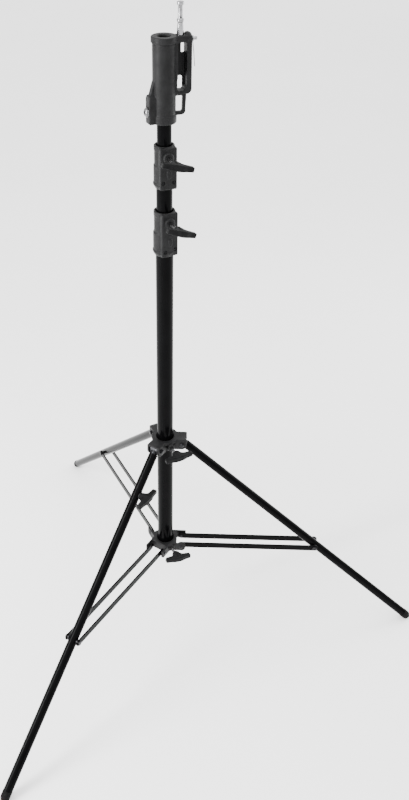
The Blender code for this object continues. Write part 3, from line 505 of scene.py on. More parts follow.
def ring(name, outer, inner, low, high, parent, place=(0, 0, 0), turn=(0, 0, 0), steps=ROUND):
    """A tube with square ends."""
    profile = [(inner, high), (outer, high), (outer, low), (inner, low)]
    return turned(name, profile, parent, place, turn, steps, closed=True)


def rod(name, radius, low, high, parent, place=(0, 0, 0), turn=(0, 0, 0), steps=SMALL_ROUND,
        edge=0.0):
    """A round bar along local Z with optional broken edges."""
    profile = [(0.0, high), (radius - edge, high)]
    if edge:
        profile += [(radius, high - edge), (radius, low + edge)]
    profile += [(radius - edge, low), (0.0, low)]
    return turned(name, profile, parent, place, turn, steps)


def block(name, low, high, parent, place=(0, 0, 0), turn=(0, 0, 0), bevel=0.0):
    """A box between two corners, with its edges rounded."""
    mesh = bpy.data.meshes.new(name)
    shape = bmesh.new()
    bmesh.ops.create_cube(shape, size=1.0)
    low, high = Vector(low), Vector(high)
    size = high - low
    middle = (high + low) / 2
    for vert in shape.verts:
        vert.co = Vector([vert.co[i] * size[i] + middle[i] for i in range(3)])
    shape.to_mesh(mesh)
    shape.free()
    part = add(name, mesh, parent, place, turn)
    if bevel:
        round_edges(part, bevel)
    return part


def plate(name, outline, low, high, parent, place=(0, 0, 0), turn=(0, 0, 0), bevel=0.0,
          segments=2, angle=30.0):
    """A flat outline in the local XY plane, given thickness from low to high along local Z."""
    mesh = bpy.data.meshes.new(name)
    shape = bmesh.new()
    face = shape.faces.new([shape.verts.new((x, y, low)) for x, y in outline])
    bmesh.ops.recalc_face_normals(shape, faces=[face])
    grown = bmesh.ops.extrude_face_region(shape, geom=[face])
    for vert in grown["geom"]:
        if isinstance(vert, bmesh.types.BMVert):
            vert.co.z = high
    bmesh.ops.recalc_face_normals(shape, faces=shape.faces)
    shape.to_mesh(mesh)
    shape.free()
    part = add(name, mesh, parent, place, turn)
    if bevel:
        round_edges(part, bevel, segments, angle)
    return part


def round_edges(part, width, segments=2, angle=30.0):
    bevel = part.modifiers.new("edges", "BEVEL")
    bevel.width = width
    bevel.segments = segments
    bevel.limit_method = "ANGLE"
    bevel.angle_limit = math.radians(angle)


def arc(centre, radius, start, end, count):
    """Points on an arc in the XY plane, from start to end degrees, two steps to each count."""
    points = []
    steps = 2 * count
    for step in range(steps + 1):
        turn = math.radians(start + (end - start) * step / steps)
        points.append((centre[0] + radius * math.cos(turn), centre[1] + radius * math.sin(turn)))
    return points


def combine(part, tool, operation):
    """Joins a tool to a part, or cuts it away."""
    step = part.modifiers.new(tool.name, "BOOLEAN")
    step.operation = operation
    step.solver = "EXACT"
    step.object = tool


def cut(part, *tools):
    for tool in tools:
        combine(part, tool, "DIFFERENCE")


def join(part, *tools):
    for tool in tools:
        combine(part, tool, "UNION")


# ---- Tubes of the column ------------------------------------------------------------------
def column_tubes(axis):
    spans = {
        "base_tube": (BASE_TUBE_RADIUS, BASE_TUBE_SPAN),
        "mid_tube": (MID_TUBE_RADIUS, MID_TUBE_SPAN),
        "top_tube": (TOP_TUBE_RADIUS, TOP_TUBE_SPAN),
    }
    for name, (radius, (low, high)) in spans.items():
        tube = ring(name, radius, radius - TUBE_WALL, 0.0, high - low, axis, (0, 0, low))
        finish(tube, "tube_black")


def tube_plug(name, tube_radius, flange_radius, hole_radius, depth, axis, height, slot):
    """A stepped plug in a tube's lower end; its flange sits just below the tube."""
    spigot = tube_radius - TUBE_WALL - GAP
    profile = [(hole_radius, depth), (spigot, depth), (spigot, -GAP), (flange_radius, -GAP)]
    profile += [(flange_radius, -0.005), (flange_radius - 0.001, -0.006), (hole_radius, -0.006)]
    part = turned(name, profile, axis, (0, 0, height), closed=True)
    finish(part, slot)


def tube_plugs(axis):
    tube_plug("base_tube_end_plug", BASE_TUBE_RADIUS, BASE_TUBE_RADIUS - 0.0005, 0.008, 0.022,
              axis, BASE_TUBE_SPAN[0], "rubber_black")
    guide = BASE_TUBE_RADIUS - TUBE_WALL - 0.0004
    tube_plug("mid_tube_guide", MID_TUBE_RADIUS, guide, 0.013, 0.020, axis, MID_TUBE_SPAN[0],
              "nylon")
    guide = MID_TUBE_RADIUS - TUBE_WALL - 0.0004
    tube_plug("top_tube_guide", TOP_TUBE_RADIUS, guide, 0.011, 0.020, axis, TOP_TUBE_SPAN[0],
              "nylon")


# ---- Wing knobs and their screws ----------------------------------------------------------
def wing_outline():
    """The wing's outline: local X along the wing, local Y along the screw, outwards."""
    half = KNOB_SPAN / 2
    under = KNOB_HEIGHT - KNOB_TIP - 0.0025
    tip_top = KNOB_HEIGHT - 0.0035
    fillet = 0.011
    start = under - fillet
    side = [(KNOB_NECK_RADIUS - 0.0012, start - 0.001)]
    side += arc((KNOB_NECK_RADIUS + fillet, start), fillet, 180, 90, 4)
    side += [(half - 0.0010, under + 0.0004), (half, tip_top)]
    side += [(half * 0.60, KNOB_HEIGHT - 0.0030), (half * 0.28, KNOB_HEIGHT - 0.0002)]
    mirrored = [(-x, y) for x, y in reversed(side)]
    return side + [(0.0, KNOB_HEIGHT)] + mirrored


def wing_knob(name, hub):
    """A wing knob whose screw runs along the hub frame's Z, with its neck's face at z = 0."""
    mesh_part = plate(name, wing_outline(), -0.5, 0.5, hub)
    for vert in mesh_part.data.vertices:
        along = min(1.0, abs(vert.co.x) / (KNOB_SPAN / 2))
        thick = KNOB_THICK * (1.0 - KNOB_TAPER * along**1.3)
        vert.co = (vert.co.x, -vert.co.z * thick, vert.co.y)
    round_edges(mesh_part, 0.0022, 1, 40)
    neck = turned(f"{name}_neck", [(0.0, KNOB_NECK + 0.006), (0.0078, KNOB_NECK + 0.006),
                                   (KNOB_NECK_RADIUS, KNOB_NECK - 0.004),
                                   (KNOB_NECK_RADIUS, 0.0012), (KNOB_NECK_RADIUS - 0.0012, 0.0),
                                   (0.0, 0.0)], hub, steps=SMALL_ROUND)
    hole = rod(f"{name}_hole", BOLT_RADIUS + GAP, -0.01, KNOB_HOLE_DEPTH, hub)
    join(mesh_part, neck)
    cut(mesh_part, hole)
    finish(mesh_part, "knob_black", KNOB_VOXEL)


def knob_screw(name, hub, inner_end):
    """The clamping screw, from inner_end (negative) to just short of the knob's blind hole."""
    finish(rod(name, BOLT_RADIUS, inner_end, KNOB_HOLE_DEPTH - GAP, hub, edge=0.0006),
           "zinc_steel")


def radial_hub(name, axis, azimuth, reach, height, tilt):
    """A frame whose Z points out from the column; tilt turns a level wing about the screw."""
    spoke = holder(f"{name}_spoke", axis, turn=(0, 0, azimuth))
    seat = holder(f"{name}_seat", spoke, (reach, 0, height), ALONG_X)
    return holder(f"{name}_hub", seat, turn=(0, 0, 90 + tilt))


# ---- Riser clamps -------------------------------------------------------------------------
def clamp_block(name, data, spoke):
    """The flat-faced block that carries the screw, with its outer edges well rounded."""
    right, left = data["sides"]
    return block(name, (0.002, right, 0.0020), (CLAMP_FACE, left, data["height"] - 0.0015),
                 spoke, bevel=0.0034)


def clamp_sleeve(name, data, spoke):
    """The round sleeve: a band at each end and a step half way, where the tubes change."""
    height, lower, upper = data["height"], data["lower"], data["upper"]
    seat = data["seat"]
    profile = [
        (0.0, height), (upper - 0.0008, height), (upper + 0.0009, height - 0.0018),
        (upper + 0.0009, height - 0.0125), (upper, height - 0.0135), (upper, seat + 0.0040),
        (lower, seat + 0.0015), (lower, 0.0160), (lower + 0.0014, 0.0145),
        (lower + 0.0014, 0.0100), (data["outer_tube"] + 0.0022, 0.0), (0.0, 0.0),
    ]
    return turned(name, profile, spoke)


def clamp_bore(name, data, spoke):
    """The stepped bore: a seat round the lower tube and a running fit on the upper one."""
    low = data["outer_tube"] + GAP
    high = data["inner_tube"] + CLAMP_RUNNING_FIT
    seat = data["seat"] + GAP
    top = data["height"]
    profile = [
        (0.0, top + 0.010), (high + 0.0025, top + 0.010), (high + 0.0025, top),
        (high, top - 0.0060), (high, seat), (low, seat), (low, -0.010), (0.0, -0.010),
    ]
    return turned(name, profile, spoke)


def riser_clamp(kind, data, axis):
    spoke = holder(f"{kind}_clamp_spoke", axis, (0, 0, data["bottom"]), (0, 0, data["azimuth"]))
    name = f"{kind}_clamp"
    casting = clamp_sleeve(name, data, spoke)
    screw_height = data["screw"]
    bore_high = data["inner_tube"] + CLAMP_RUNNING_FIT
    boss_place = (0, 0, screw_height)
    boss = rod(f"{name}_boss", CLAMP_BOSS_RADIUS, 0.020, CLAMP_BOSS_REACH, spoke, boss_place,
               ALONG_X, edge=0.0020)
    oval = arc((0.0, 0.0055), 0.0060, 0, 180, 5) + arc((0.0, -0.0055), 0.0048, 180, 360, 5)
    rib = plate(f"{name}_rib", oval, 0.020, CLAMP_FACE + 0.0026, spoke,
                (0, 0.0015, 0.0410), (90, 0, 90), bevel=0.0014, segments=1)
    solid_block = clamp_block(f"{name}_block", data, spoke)
    bore = clamp_bore(f"{name}_bore", data, spoke)
    pad_end = bore_high + 0.0048
    screw_hole = turned(f"{name}_screw_hole", [
        (0.0, 0.050), (BOLT_RADIUS + GAP, 0.050), (BOLT_RADIUS + GAP, pad_end),
        (0.0063, pad_end), (0.0063, 0.013), (0.0, 0.013),
    ], spoke, boss_place, ALONG_X, steps=SMALL_ROUND)
    join(casting, solid_block, boss, rib)
    cut(casting, screw_hole)
    for side, (lateral, height) in zip(("left", "right"), data["set_screws"]):
        place = (0, lateral, height)
        recess = CLAMP_FACE - 0.0025
        hole = turned(f"{name}_set_hole_{side}", [
            (0.0, 0.050), (0.0048, 0.050), (0.0048, recess), (0.0033, recess),
            (0.0033, 0.011), (0.0, 0.011),
        ], spoke, place, ALONG_X, steps=SMALL_ROUND)
        cut(casting, hole)
        inner = math.sqrt((data["outer_tube"] + GAP)**2 - (abs(lateral) - 0.0030)**2)
        set_screw = turned(f"{name}_set_screw_{side}",
                           [(0.0, CLAMP_FACE - 0.0032), (0.0016, CLAMP_FACE - 0.0032),
                            (0.0016, CLAMP_FACE - 0.0005), (0.0030, CLAMP_FACE - 0.0008),
                            (0.0030, inner + 0.0002), (0.0, inner + 0.0002)],
                           spoke, place, ALONG_X, steps=SMALL_ROUND)
        finish(set_screw, "black_steel")
    cut(casting, bore)
    finish(casting, "casting_grey", CAST_VOXEL)
    pad_inner = data["inner_tube"] + GAP
    pad = rod(f"{name}_pad", 0.0058, pad_inner, bore_high + 0.0042, spoke, boss_place, ALONG_X)
    finish(pad, "brass")
    hub = radial_hub(name, axis, data["azimuth"], CLAMP_KNOB_REACH,
                     data["bottom"] + screw_height, data["tilt"])
    wing_knob(f"{name}_knob", hub)
    knob_screw(f"{name}_screw", hub, bore_high + 0.0045 - CLAMP_KNOB_REACH)


# ---- Collars ------------------------------------------------------------------------------
def collar_screw_boss(name, axis):
    spoke = holder(f"{name}_boss_spoke", axis, turn=(0, 0, COLLAR_KNOB_AZIMUTH))
    boss = rod(f"{name}_boss", COLLAR_BOSS_RADIUS, 0.025, COLLAR_BOSS_REACH, spoke,
               turn=ALONG_X, edge=0.0015)
    hole = rod(f"{name}_screw_hole", BOLT_RADIUS + GAP, 0.0, 0.06, spoke, turn=ALONG_X)
    return boss, hole


def collar_bore(name, low, high, level):
    """The collar's bore on the base tube, opened out at its top."""
    mouth = COLLAR_BORE + COLLAR_MOUTH
    profile = [
        (0.0, high + 0.010), (mouth, high + 0.010), (mouth, high),
        (COLLAR_BORE, high - COLLAR_MOUTH), (COLLAR_BORE, low - 0.010), (0.0, low - 0.010),
    ]
    return turned(f"{name}_bore", profile, level)


def hood_outline():
    """Side view of a leg hood: roof, rounded nose and a cheek rounded about the pivot."""
    low, high = COLLAR_SPAN
    points = [(0.026, high), (HOOD_REACH - 0.002, high), (HOOD_REACH, high - 0.002)]
    points += arc((HOOD_REACH - 0.015, -0.002), 0.015, 0, -90, 6)
    points += [(0.026, low)]
    return points


def hood_channel_outline():
    """Side view of the room for a leg: open outwards and downwards, under the roof."""
    back = LEG_PIVOT_REACH - LEG_EYE_RADIUS - 0.0017
    return [(back, HOOD_ROOF), (0.080, HOOD_ROOF), (0.080, -0.040), (back, -0.040)]


def upper_collar(axis):
    name = "upper_collar"
    low, high = COLLAR_SPAN
    level = holder("upper_collar_level", axis, (0, 0, LEG_PIVOT_HEIGHT))
    profile = [
        (0.0, high), (COLLAR_FLANGE - 0.0015, high), (COLLAR_FLANGE, high - 0.0015),
        (COLLAR_FLANGE, high - 0.0070), (COLLAR_RADIUS, high - 0.0100),
        (COLLAR_RADIUS, low + 0.0015),
        (COLLAR_RADIUS - 0.0015, low), (0.0, low),
    ]
    casting = turned(name, profile, level)
    boss, hole = collar_screw_boss(name, level)
    join(casting, boss)
    channels = []
    for leg, azimuth in LEG_AZIMUTHS.items():
        spoke = holder(f"{name}_{leg}_spoke", level, turn=(0, 0, azimuth))
        # The outlines are drawn in X and Z, so they are stood up about X.
        hood = plate(f"{name}_{leg}_hood", hood_outline(), -HOOD_HALF_WIDTH, HOOD_HALF_WIDTH,
                     spoke, turn=ALONG_Y, bevel=0.0015, angle=50)
        channel = plate(f"{name}_{leg}_channel", hood_channel_outline(), -HOOD_CHANNEL,
                        HOOD_CHANNEL, spoke, turn=ALONG_Y)
        bolt_hole = rod(f"{name}_{leg}_bolt_hole", BOLT_RADIUS + GAP, -0.03, 0.03, spoke,
                        (LEG_PIVOT_REACH, 0, 0), ALONG_Y)
        join(casting, hood)
        channels += [channel, bolt_hole]
    cut(casting, *channels, hole, collar_bore(name, low, high, level))
    finish(casting, "casting_grey", CAST_VOXEL)


def lower_collar_outline():
    """Plan view: a hub with a flat towards each leg and an ear on each side of the flat."""
    inner, outer = EAR_SIDES
    notch = outer / math.tan(math.radians(60))
    corners = [
        (notch, -outer), (EAR_REACH, -outer), (EAR_REACH, -inner), (HUB_FACE, -inner),
        (HUB_FACE, inner), (EAR_REACH, inner), (EAR_REACH, outer),
    ]
    points = []
    for azimuth in sorted(LEG_AZIMUTHS.values()):
        turn = math.radians(azimuth)
        for along, across in corners:
            points.append((along * math.cos(turn) - across * math.sin(turn),
                           along * math.sin(turn) + across * math.cos(turn)))
    return points


def lower_collar(axis):
    name = "lower_collar"
    low, high = LOWER_COLLAR_SPAN
    level = holder("lower_collar_level", axis, (0, 0, BRACE_PIVOT_HEIGHT))
    casting = plate(name, lower_collar_outline(), low, high, level, bevel=0.0012,
                    segments=1, angle=50)
    boss, hole = collar_screw_boss(name, level)
    join(casting, boss)
    cuts = []
    for leg, azimuth in LEG_AZIMUTHS.items():
        spoke = holder(f"{name}_{leg}_spoke", level, turn=(0, 0, azimuth))
        centre = (EAR_REACH - EAR_CORNER, low + EAR_CORNER)
        corner = arc(centre, EAR_CORNER, -90, 0, 4)
        corner += [(EAR_REACH + 0.005, centre[1]), (EAR_REACH + 0.005, low - 0.005),
                   (centre[0], low - 0.005)]
        below = plate(f"{name}_{leg}_corner", corner, -0.035, 0.035, spoke, turn=ALONG_Y)
        pin_hole = rod(f"{name}_{leg}_pin_hole", BRACE_PIN_RADIUS + GAP, -0.040, 0.040, spoke,
                       (BRACE_PIVOT_REACH, 0, 0), ALONG_Y)
        cuts += [below, pin_hole]
    cut(casting, *cuts, hole, collar_bore(name, low, high, level))
    finish(casting, "casting_grey", CAST_VOXEL)


def collar_knobs(axis):
    for name, height, tilt in (("upper_collar", LEG_PIVOT_HEIGHT, 0.0),
                               ("lower_collar", BRACE_PIVOT_HEIGHT, -10.0)):
        hub = radial_hub(name, axis, COLLAR_KNOB_AZIMUTH, COLLAR_KNOB_REACH, height, tilt)
        wing_knob(f"{name}_knob", hub)
        knob_screw(f"{name}_screw", hub, BASE_TUBE_RADIUS + GAP - COLLAR_KNOB_REACH)


# ---- Legs ---------------------------------------------------------------------------------
def leg_frame(leg, axis):
    """Origin on the leg's top pivot, +X down the leg, Y along the pivot, Z up and out."""
    spoke = holder(f"{leg}_leg_spoke", axis, turn=(0, 0, LEG_AZIMUTHS[leg]))
    return holder(f"{leg}_leg_line", spoke, (LEG_PIVOT_REACH, 0, LEG_PIVOT_HEIGHT),
                 (0, 90 - math.degrees(LEG_SPREAD), 0))


def leg_eye(name, spigot_radius, spigot_end, line):
    """The round eye on the pivot with a spigot down the leg."""
    half = LEG_EYE_WIDTH / 2
    eye = rod(name, LEG_EYE_RADIUS, -half, half, line, turn=ALONG_Y, edge=0.0010)
    spigot = rod(f"{name}_spigot", spigot_radius, 0.004, spigot_end, line, turn=ALONG_X)
    hole = rod(f"{name}_hole", BOLT_RADIUS + GAP, -0.02, 0.02, line, turn=ALONG_Y)
    join(eye, spigot)
    cut(eye, hole)
    finish(eye, "casting_grey" if spigot_end < 0.1 else "black_steel", edge=0.0)


def leg_tube(name, line):
    """The leg's tube, drawn whole although the brace bolt runs through it."""
    return ring(name, LEG_RADIUS, LEG_RADIUS - LEG_WALL, LEG_TUBE_START, LEG_LENGTH - FOOT_CAP,
                line, turn=ALONG_X, steps=SMALL_ROUND)


def leg_foot(name, line):
    """A round-ended cap whose spigot plugs the tube's lower end."""
    end = LEG_LENGTH - FOOT_CAP
    spigot = LEG_RADIUS - LEG_WALL - GAP
    profile = [(0.0, -0.028), (spigot, -0.028), (spigot, GAP), (FOOT_RADIUS, GAP)]
    dome = [(radius, height) for height, radius in arc((FOOT_CAP, 0.0), FOOT_RADIUS, 90, 0, 4)]
    profile += dome[:-1] + [(0.0, FOOT_CAP + FOOT_RADIUS)]
    profile = [(radius, -height) for radius, height in profile]
    foot = turned(name, profile, line, (end, 0, 0), (0, -90, 0), steps=SMALL_ROUND)
    finish(foot, "rubber_black")


def pivot_bolt(name, line):
    """The top pivot's bolt with its head and lock nut outside the hood's cheeks."""
    cheek = HOOD_HALF_WIDTH + GAP
    profile = [(0.0, cheek + 0.0040), (0.0048, cheek + 0.0040), (0.0066, cheek + 0.0026),
               (0.0070, cheek), (BOLT_RADIUS, cheek), (BOLT_RADIUS, -cheek), (0.0066, -cheek),
               (0.0066, -cheek - 0.0045), (0.0045, -cheek - 0.0055), (0.0, -cheek - 0.0055)]
    finish(turned(name, profile, line, turn=ALONG_Y, steps=SMALL_ROUND), "black_steel")


def brace_bolt(name, line):
    """The brace bolt's shaft through the leg, with the spacers that hold the bars off it."""
    near = LEG_RADIUS + GAP
    far = BRACE_SIDE - BRACE_THICK / 2 - 0.0004
    profile = [(0.0, far), (0.0070, far), (0.0070, near), (BOLT_RADIUS, near),
               (BOLT_RADIUS, -near), (0.0070, -near), (0.0070, -far), (0.0, -far)]
    place = (BRACE_JOINT_ALONG_LEG, 0, 0)
    finish(turned(name, profile, line, place, ALONG_Y, steps=SMALL_ROUND), "black_steel")


def leg_ends(leg, line):
    leg_foot(f"{leg}_foot", line)
    pivot_bolt(f"{leg}_pivot_bolt", line)
    brace_bolt(f"{leg}_brace_bolt", line)


def plain_leg(leg, axis):
    line = leg_frame(leg, axis)
    finish(leg_tube(f"{leg}_leg_tube", line), "tube_black")
    leg_eye(f"{leg}_leg_eye", LEG_RADIUS - LEG_WALL - GAP, 0.050, line)
    leg_ends(leg, line)


def levelling_leg(axis):
    """The leg whose tube slides along an inner rod and is held by a wing knob."""
    line = leg_frame("level", axis)
    boss_end = LEG_RADIUS + 0.0025
    tube = leg_tube("level_leg_tube", line)
    boss = rod("level_leg_boss", 0.0085, LEG_RADIUS - 0.0012, boss_end, line,
               (LEVEL_KNOB_ALONG, 0, 0), (-90, 0, 0), edge=0.0006)
    finish(boss, "casting_grey", body=NODE_BODY["level_leg_tube"])
    finish(tube, "tube_black")
    leg_eye("level_leg_rod", LEVEL_ROD_RADIUS, LEVEL_ROD_LENGTH, line)
    leg_ends("level", line)
    seat = holder("level_knob_seat", line, (LEVEL_KNOB_ALONG, boss_end + GAP, 0), (-90, 0, 0))
    hub = holder("level_knob_hub", seat, turn=(0, 0, math.degrees(LEG_SPREAD) - 90))
    wing_knob("level_leg_knob", hub)
    knob_screw("level_leg_screw", hub, LEVEL_ROD_RADIUS - boss_end)


# ---- Braces -------------------------------------------------------------------------------
def brace_pin_profile():
    """A rivet through the ear and the bar, with a shoulder that spaces the two apart."""
    ear_inner, ear_outer = EAR_SIDES
    bar_inner = BRACE_SIDE - BRACE_THICK / 2
    bar_outer = BRACE_SIDE + BRACE_THICK / 2
    head = ear_outer + GAP
    tail = bar_inner - GAP
    shaft = BRACE_PIN_RADIUS
    shoulder = 0.0046
    return [
        (0.0, head + 0.0022), (0.0036, head + 0.0020), (0.0052, head + 0.0008),
        (0.0052, head), (shaft, head), (shaft, ear_inner - GAP), (shoulder, ear_inner - GAP),
        (shoulder, bar_outer + GAP), (shaft, bar_outer + GAP), (shaft, tail),
        (shoulder, tail), (0.0040, tail - 0.0012), (0.0, tail - 0.0012),
    ]


def brace_pair(leg, axis):
    """Two flat bars from the lower collar's lugs to the leg, one on each side of it."""
    spoke = holder(f"{leg}_brace_spoke", axis, turn=(0, 0, LEG_AZIMUTHS[leg]))
    line = holder(f"{leg}_brace_line", spoke, (BRACE_PIVOT_REACH, 0, BRACE_PIVOT_HEIGHT),
                 (0, -math.degrees(BRACE_RISE), 0))
    half = BRACE_TALL / 2
    outline = arc((0.0, 0.0), half, 90, 270, 24) + arc((BRACE_LENGTH, 0.0), half, -90, 90, 24)
    for side, sign in (("left", 1), ("right", -1)):
        name = f"{leg}_brace_{side}"
        middle = -sign * BRACE_SIDE
        bar = plate(name, outline, middle - BRACE_THICK / 2, middle + BRACE_THICK / 2, line,
                    turn=ALONG_Y)
        face = BRACE_SIDE + BRACE_THICK / 2
        head = rod(f"{name}_bolt_head", 0.0068, face - 0.001, face + 0.0034, line,
                   (BRACE_LENGTH, 0, 0), (-90 * sign, 0, 0), edge=0.0012)
        finish(head, "black_steel", edge=0.0, body=NODE_BODY[name])
        finish(bar, "tube_black", edge=0.0007)
        pin = turned(f"{leg}_brace_pin_{side}", brace_pin_profile(), spoke,
                     (BRACE_PIVOT_REACH, 0, BRACE_PIVOT_HEIGHT), (-90 * sign, 0, 0),
                     steps=SMALL_ROUND)
        finish(pin, "black_steel")


# ---- Head ---------------------------------------------------------------------------------
def head_body(head):
    """The round body: a band at the bottom and, above a groove, a taller one at the top."""
    height = HEAD_HEIGHT
    profile = [
        (0.0, height), (0.0282, height), (0.0300, height - 0.0018),
        (0.0300, height - 0.0135), (0.0290, height - 0.0145), (0.0262, height - 0.0148),
        (0.0262, height - 0.0162), (0.0270, height - 0.0170), (0.0270, 0.0205),
        (0.0290, 0.0190), (0.0290, 0.0025), (0.0272, 0.0), (0.0, 0.0),
    ]
    return turned("head_casting", profile, head)


def head_bore(head):
    """One stepped bore: the tube's seat, a narrower throat, the socket and its lead-in."""
    height = HEAD_HEIGHT
    bore = TOP_TUBE_RADIUS + GAP
    tube_end = TOP_TUBE_SPAN[1] - HEAD_BOTTOM + GAP
    profile = [
        (0.0, height + 0.010), (0.0168, height + 0.010), (0.0168, height),
        (SOCKET_RADIUS, height - 0.0030), (SOCKET_RADIUS, SOCKET_FLOOR),
        (0.0100, SOCKET_FLOOR), (0.0100, tube_end), (bore, tube_end), (bore, -0.010),
        (0.0, -0.010),
    ]
    return turned("head_bore", profile, head)


def bracket_outline():
    """Front view of the side bracket, in X and Z."""
    top = HEAD_HEIGHT - 0.0004
    points = [(0.016, top), (BRACKET_REACH, top)]
    points += arc((BRACKET_REACH - 0.0120, 0.0775), 0.0120, 0, -80, 5)
    points += [(0.016, 0.0645)]
    return points


def loop_outline():
    """Front view of the lower loop, in X and Z: a hook whose open side meets the body."""
    points = [(0.016, 0.0780), (0.0525, 0.0780), (0.0515, 0.0560), (0.0500, 0.0320)]
    points += arc((0.0400, 0.0255), 0.0100, 10, -90, 5)
    points += [(0.016, 0.0155), (0.016, 0.0236), (0.0380, 0.0236)]
    points += arc((0.0385, 0.0275), 0.0039, -80, 0, 3)
    points += [(0.0432, 0.0560)]
    points += arc((0.0385, 0.0570), 0.0042, 10, 90, 3)
    points += [(0.016, 0.0612)]
    return points


def rounded_slot(name, x_span, z_span, y_span, radius, head):
    """A cutter with rounded ends, standing in the XZ plane and running along Y."""
    (left, right), (low, high) = x_span, z_span
    left, right, low, high = left + radius, right - radius, low + radius, high - radius
    points = []
    for step, corner in enumerate(((right, high), (left, high), (left, low), (right, low))):
        points += arc(corner, radius, 90 * step, 90 * step + 90, 3)
    return plate(name, points, -y_span[1], -y_span[0], head, turn=ALONG_Y)


def head_casting(head):
    casting = head_body(head)
    bracket = plate("head_bracket", bracket_outline(), -0.0130, 0.0140, head,
                    turn=ALONG_Y, bevel=0.0032, angle=40)
    loop = plate("head_loop", loop_outline(), -0.0060, 0.0060, head, turn=ALONG_Y,
                 bevel=0.0012, segments=1, angle=40)
    boss = turned("head_pin_boss", [
        (0.0, BRACKET_REACH + 0.0012), (0.0075, BRACKET_REACH + 0.0012),
        (0.0115, BRACKET_REACH - 0.0010), (0.0145, BRACKET_REACH - 0.0060),
        (0.0145, 0.0515), (0.0120, 0.0475), (0.0, 0.0475),
    ], head, (0, 0, 0.1900), ALONG_X)
    side = holder("head_lock_side", head, turn=(0, 0, HEAD_LOCK_AZIMUTH))
    arch = [(-0.0120, 0.0004), (0.0120, 0.0004)] + arc((0.0, 0.0580), 0.0120, 0, 180, 6)
    lug = plate("head_lock_lug", arch, 0.0180, 0.0420, side, turn=(90, 0, 90),
                bevel=0.0022, segments=1)
    rib = plate("head_lock_rib", [(0.016, 0.030), (0.0380, 0.030), (0.0385, 0.064),
                                  (0.0262, 0.106), (0.016, 0.106)], -0.0065, 0.0065, side,
                turn=ALONG_Y, bevel=0.0015, segments=1)
    join(casting, bracket, loop, boss, lug, rib)
    recess = rounded_slot("head_recess", (0.0290, 0.0500), (0.0820, 0.1836), (-0.030, 0.0090),
                          0.0060, head)
    low_window = rounded_slot("head_low_window", (0.0278, 0.0450), (0.0742, 0.1040),
                              (-0.035, 0.035), 0.0045, head)
    top_window = rounded_slot("head_top_window", (0.0420, 0.0495), (0.1560, 0.1780),
                              (-0.010, 0.030), 0.0020, head)
    stud_hole = rod("head_stud_hole", STUD_RADIUS + 0.0004, 0.150, 0.230, head, (STUD_X, 0, 0))
    pin_hole = rod("head_pin_hole", 0.0033, 0.040, 0.080, head, (0, 0, LOCK_PIN_HEIGHT), ALONG_X)
    bolt_hole = rod("head_bolt_hole", 0.0053, 0.010, 0.060, side, (0, 0, HEAD_LOCK_HEIGHT),
                    ALONG_X)
    bore = head_bore(head)
    cut(casting, recess, low_window, top_window, stud_hole, pin_hole, bolt_hole, bore)
    finish(casting, "casting_grey", CAST_VOXEL)
    bolt = turned("head_lock_bolt", [
        (0.0, 0.0462), (0.0042, 0.0462), (0.0042, 0.0490), (0.0068, 0.0490), (0.0094, 0.0470),
        (0.0098, 0.0442), (0.0116, 0.0442), (0.0116, 0.0423),
        (0.0050, 0.0423), (0.0050, TOP_TUBE_RADIUS + 0.0012), (0.0042, TOP_TUBE_RADIUS + GAP),
        (0.0, TOP_TUBE_RADIUS + GAP),
    ], side, (0, 0, HEAD_LOCK_HEIGHT), ALONG_X, steps=SMALL_ROUND)
    finish(bolt, "zinc_steel")


def baby_stud(head):
    """The 16 mm stud: top flange, waist, ring and a body that fills out to its base."""
    r = STUD_RADIUS
    profile = [
        (0.0, STUD_TOP), (r - 0.0010, STUD_TOP), (r, STUD_TOP - 0.0010), (r, STUD_TOP - 0.0062),
        (0.0055, STUD_TOP - 0.0080), (0.0055, 0.2335), (r, 0.2318), (r, 0.2270),
        (0.0064, 0.2258), (r, 0.2020), (r, 0.1862), (r - 0.0012, 0.1850), (0.0, 0.1850),
    ]
    finish(turned("baby_stud", profile, head, (STUD_X, 0, 0), steps=SMALL_ROUND), "chrome")


def stud_lock_pin(head):
    """The pin that locks the stud: shank, stepped head and an eye for its clip."""
    pin = turned("stud_lock_pin", [
        (0.0, 0.0765), (0.0030, 0.0765), (0.0042, 0.0752), (0.0042, 0.0685), (0.0060, 0.0680),
        (0.0066, 0.0670), (0.0066, 0.0652), (0.0058, 0.0642), (0.0030, 0.0642),
        (0.0030, STUD_X + STUD_RADIUS + 0.0012), (0.0022, STUD_X + STUD_RADIUS + GAP),
        (0.0, STUD_X + STUD_RADIUS + GAP),
    ], head, (0, 0, LOCK_PIN_HEIGHT), ALONG_X, steps=SMALL_ROUND)
    eye = rod("stud_lock_pin_eye", 0.0014, -0.02, 0.02, head, (PIN_EYE_X, 0, LOCK_PIN_HEIGHT),
              ALONG_Y)
    cut(pin, eye)
    finish(pin, "chrome")


